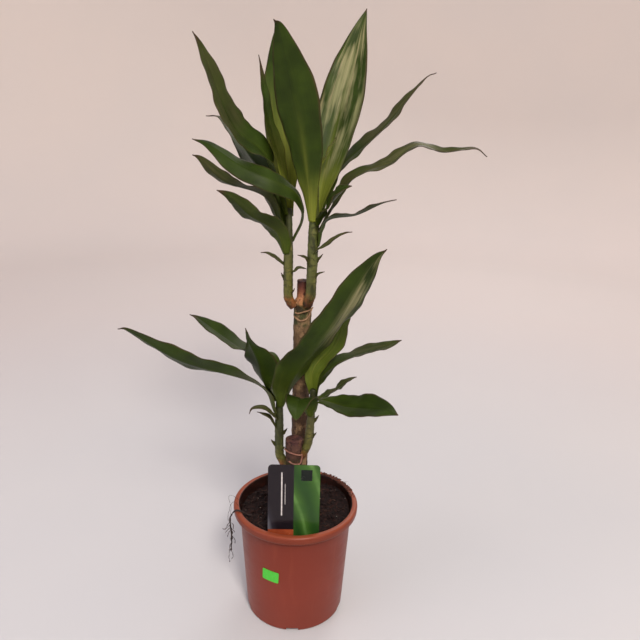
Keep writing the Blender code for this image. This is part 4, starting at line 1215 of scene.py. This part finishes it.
for face in card.data.polygons:
    in_square = (SQUARE["left"] < face.center.x < SQUARE["right"]
                 and SQUARE["low"] < face.center.z < SQUARE["high"])
    left_side = 3 if face.center.z < STRIP else 1
    face.material_index = 2 if in_square else (left_side if face.center.x < SPLIT else 0)
thicken(card, LABEL_THICKNESS)
stand = Matrix.Translation(LABEL_FOOT) @ Matrix.Rotation(radians(LABEL_TURN), 4, "Z")
stand = stand @ Matrix.Rotation(radians(-LABEL_LEAN), 4, "X")
card.data.transform(stand)
smooth(card, 30)
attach(card, "root")
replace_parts(card, "label")

# The white rules: across, low end, high end and width
RULES = [(-0.0118, 0.040, 0.086, 0.0012), (-0.0085, 0.052, 0.074, 0.0004)]
rules = []
for middle, low, high, width in RULES:
    let_go()
    bpy.ops.mesh.primitive_plane_add(size=1.0, rotation=(radians(90), 0, 0))
    rule = bpy.context.object
    rule.scale = (width, high - low, 1)
    rule.location = (middle, -LABEL_THICKNESS / 2 - INK_CLEAR, (low + high) / 2)
    bpy.ops.object.transform_apply(location=True, rotation=True, scale=True)
    rule.data.transform(stand)
    rules.append(rule)
rule_lines = gathered("label_rules", rules)
thicken(rule_lines, INK_THICKNESS, -1.0)
rule_lines.data.materials.append(
    grained("label_white", 0.3, (300.0, 2.0), ("#B8B4B4", "#D8D4D2"), rough=(0.2, 0.3)))
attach(rule_lines, "root")


# The price sticker. A small die-cut paper sticker in bright fluorescent green, stuck aslant on
# the wall, with round corners and a faint painted glow. It is left unprinted.
STICKER_WIDTH = 0.0180
STICKER_HEIGHT = 0.0130
STICKER_THICKNESS = 0.0003
STICKER_HEADING = 246.0
STICKER_MIDDLE_HEIGHT = 0.068
STICKER_TILT = -4.0
STICKER_CORNER = 0.0011

let_go()
bpy.ops.mesh.primitive_grid_add(x_subdivisions=48, y_subdivisions=32, size=1.0)
sticker = bpy.context.object
sticker.name = "price_sticker_paper"
tilt = radians(STICKER_TILT)
for corner in sticker.data.vertices:
    along, rise = corner.co.x * STICKER_WIDTH, corner.co.y * STICKER_HEIGHT
    past_end = (abs(along) - STICKER_WIDTH / 2) / STICKER_CORNER + 1
    past_edge = (abs(rise) - STICKER_HEIGHT / 2) / STICKER_CORNER + 1
    if past_end > 0 and past_edge > 0:
        drawn_in = past_end * (1 - (1 - past_edge ** 2 / 2) ** 0.5) * STICKER_CORNER
        drawn_down = past_edge * (1 - (1 - past_end ** 2 / 2) ** 0.5) * STICKER_CORNER
        along -= copysign(drawn_in, along)
        rise -= copysign(drawn_down, rise)
    side = along * cos(tilt) - rise * sin(tilt)
    height = STICKER_MIDDLE_HEIGHT + along * sin(tilt) + rise * cos(tilt)
    radius = wall_radius(height) + GAP + STICKER_THICKNESS / 2
    heading = radians(STICKER_HEADING) + side / radius
    corner.co = (radius * cos(heading), radius * sin(heading), height)
thicken(sticker, STICKER_THICKNESS)
smooth(sticker, 40)
neon = new_finish("neon_paper", 0.55, 0.2)
pulp = speckle(900.0, 4.0)
base = ramp(pulp, (0.3, "#44B036"), (0.7, "#58C248"))
wear(base, pulp, 0.5, 0.65)
bumps(pulp, 0.00004, 0.6)
# Painted glow: the paper gives out a faint green light of its own, for its fluorescent brightness.
shader.inputs["Emission Color"].default_value = colour("#2FE040")
shader.inputs["Emission Strength"].default_value = 0.05
sticker.data.materials.append(neon)
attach(sticker, "root")
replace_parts(sticker, "price_sticker")


# The stage. A pale floor that sweeps up all round into a plain wall, far enough off to stay
# clear of every view, painted darker towards its middle as painted shade, with soft light from the
# front and above and a weak cool fill.
STAGE_RADIUS = 2.6
STAGE_HEIGHT = 2.6
CURVE_RADIUS = 0.8
stage_profile = [(0.0, 0.0), (0.4, 0.0), (1.2, 0.0)]
stage_profile += arc((STAGE_RADIUS - CURVE_RADIUS, CURVE_RADIUS), CURVE_RADIUS, -90, 0, 16)
stage_profile += [(STAGE_RADIUS, STAGE_HEIGHT)]
stage = spun("sweep", stage_profile, 96, inside=True)
stage.location.z = -0.0002
bpy.ops.object.shade_smooth()
paper = new_finish("pale_card", 0.9)
cloud = speckle(2.0, 2.0)
reach = step("VectorMath", {"operation": "LENGTH"}, Vector=place()).outputs["Value"]
# Painted shade: the floor is darker and cooler grey towards the middle, where the plant stands, and
# paler and warmer out towards the wall.
shade = ramp(sums("DIVIDE", reach, STAGE_RADIUS), (0.0, "#C2C5C9"), (0.18, "#C9CACC"),
             (0.46, "#D8D1CE"), (0.80, "#E5DDD8"), (1.0, "#E7DED6"))
feed(shader.inputs["Base Color"], over(shade, cloud, 0.3, 0.7, 0.25, "#D9D7D4"))
stage.data.materials.append(paper)

MIDDLE = Vector((0.0, 0.0, 0.30))


def lamp(name, spot, size, watts, shade):
    let_go()
    bpy.ops.object.light_add(type="AREA", location=spot)
    light = bpy.context.object
    light.name = name
    light.rotation_euler = (Vector(spot) - MIDDLE).to_track_quat("Z", "Y").to_euler()
    light.data.size = size
    light.data.energy = watts
    light.data.color = colour(shade)[:3]


lamp("key_light", (0.45, -1.55, 1.75), 0.45, 42.0, "#FFF4EA")
lamp("left_fill", (-1.6, -0.9, 0.9), 1.2, 8.0, "#EDEAFF")
lamp("back_fill", (0.6, 1.6, 1.6), 1.0, 12.0, "#FFF6F0")
sky = bpy.data.worlds.new("studio")
sky.use_nodes = True
sky.node_tree.nodes["Background"].inputs["Color"].default_value = colour("#E8E6F4")
sky.node_tree.nodes["Background"].inputs["Strength"].default_value = 0.55
bpy.context.scene.world = sky
bpy.context.scene.view_settings.view_transform = "Standard"

# The camera, where the photograph was taken from
CAMERA_PLACE = (0.0209, -0.594, 0.514)
CAMERA_PITCH = 17.83
CAMERA_ROLL = 1.40
CAMERA_LENS = 36.56
bpy.ops.object.camera_add(location=CAMERA_PLACE)
camera = bpy.context.object
aim = Matrix.Rotation(radians(90 - CAMERA_PITCH), 4, "X")
aim = aim @ Matrix.Rotation(radians(CAMERA_ROLL), 4, "Z")
camera.rotation_euler = aim.to_euler()
camera.data.sensor_width = 36.0
camera.data.lens = CAMERA_LENS
bpy.context.scene.camera = camera
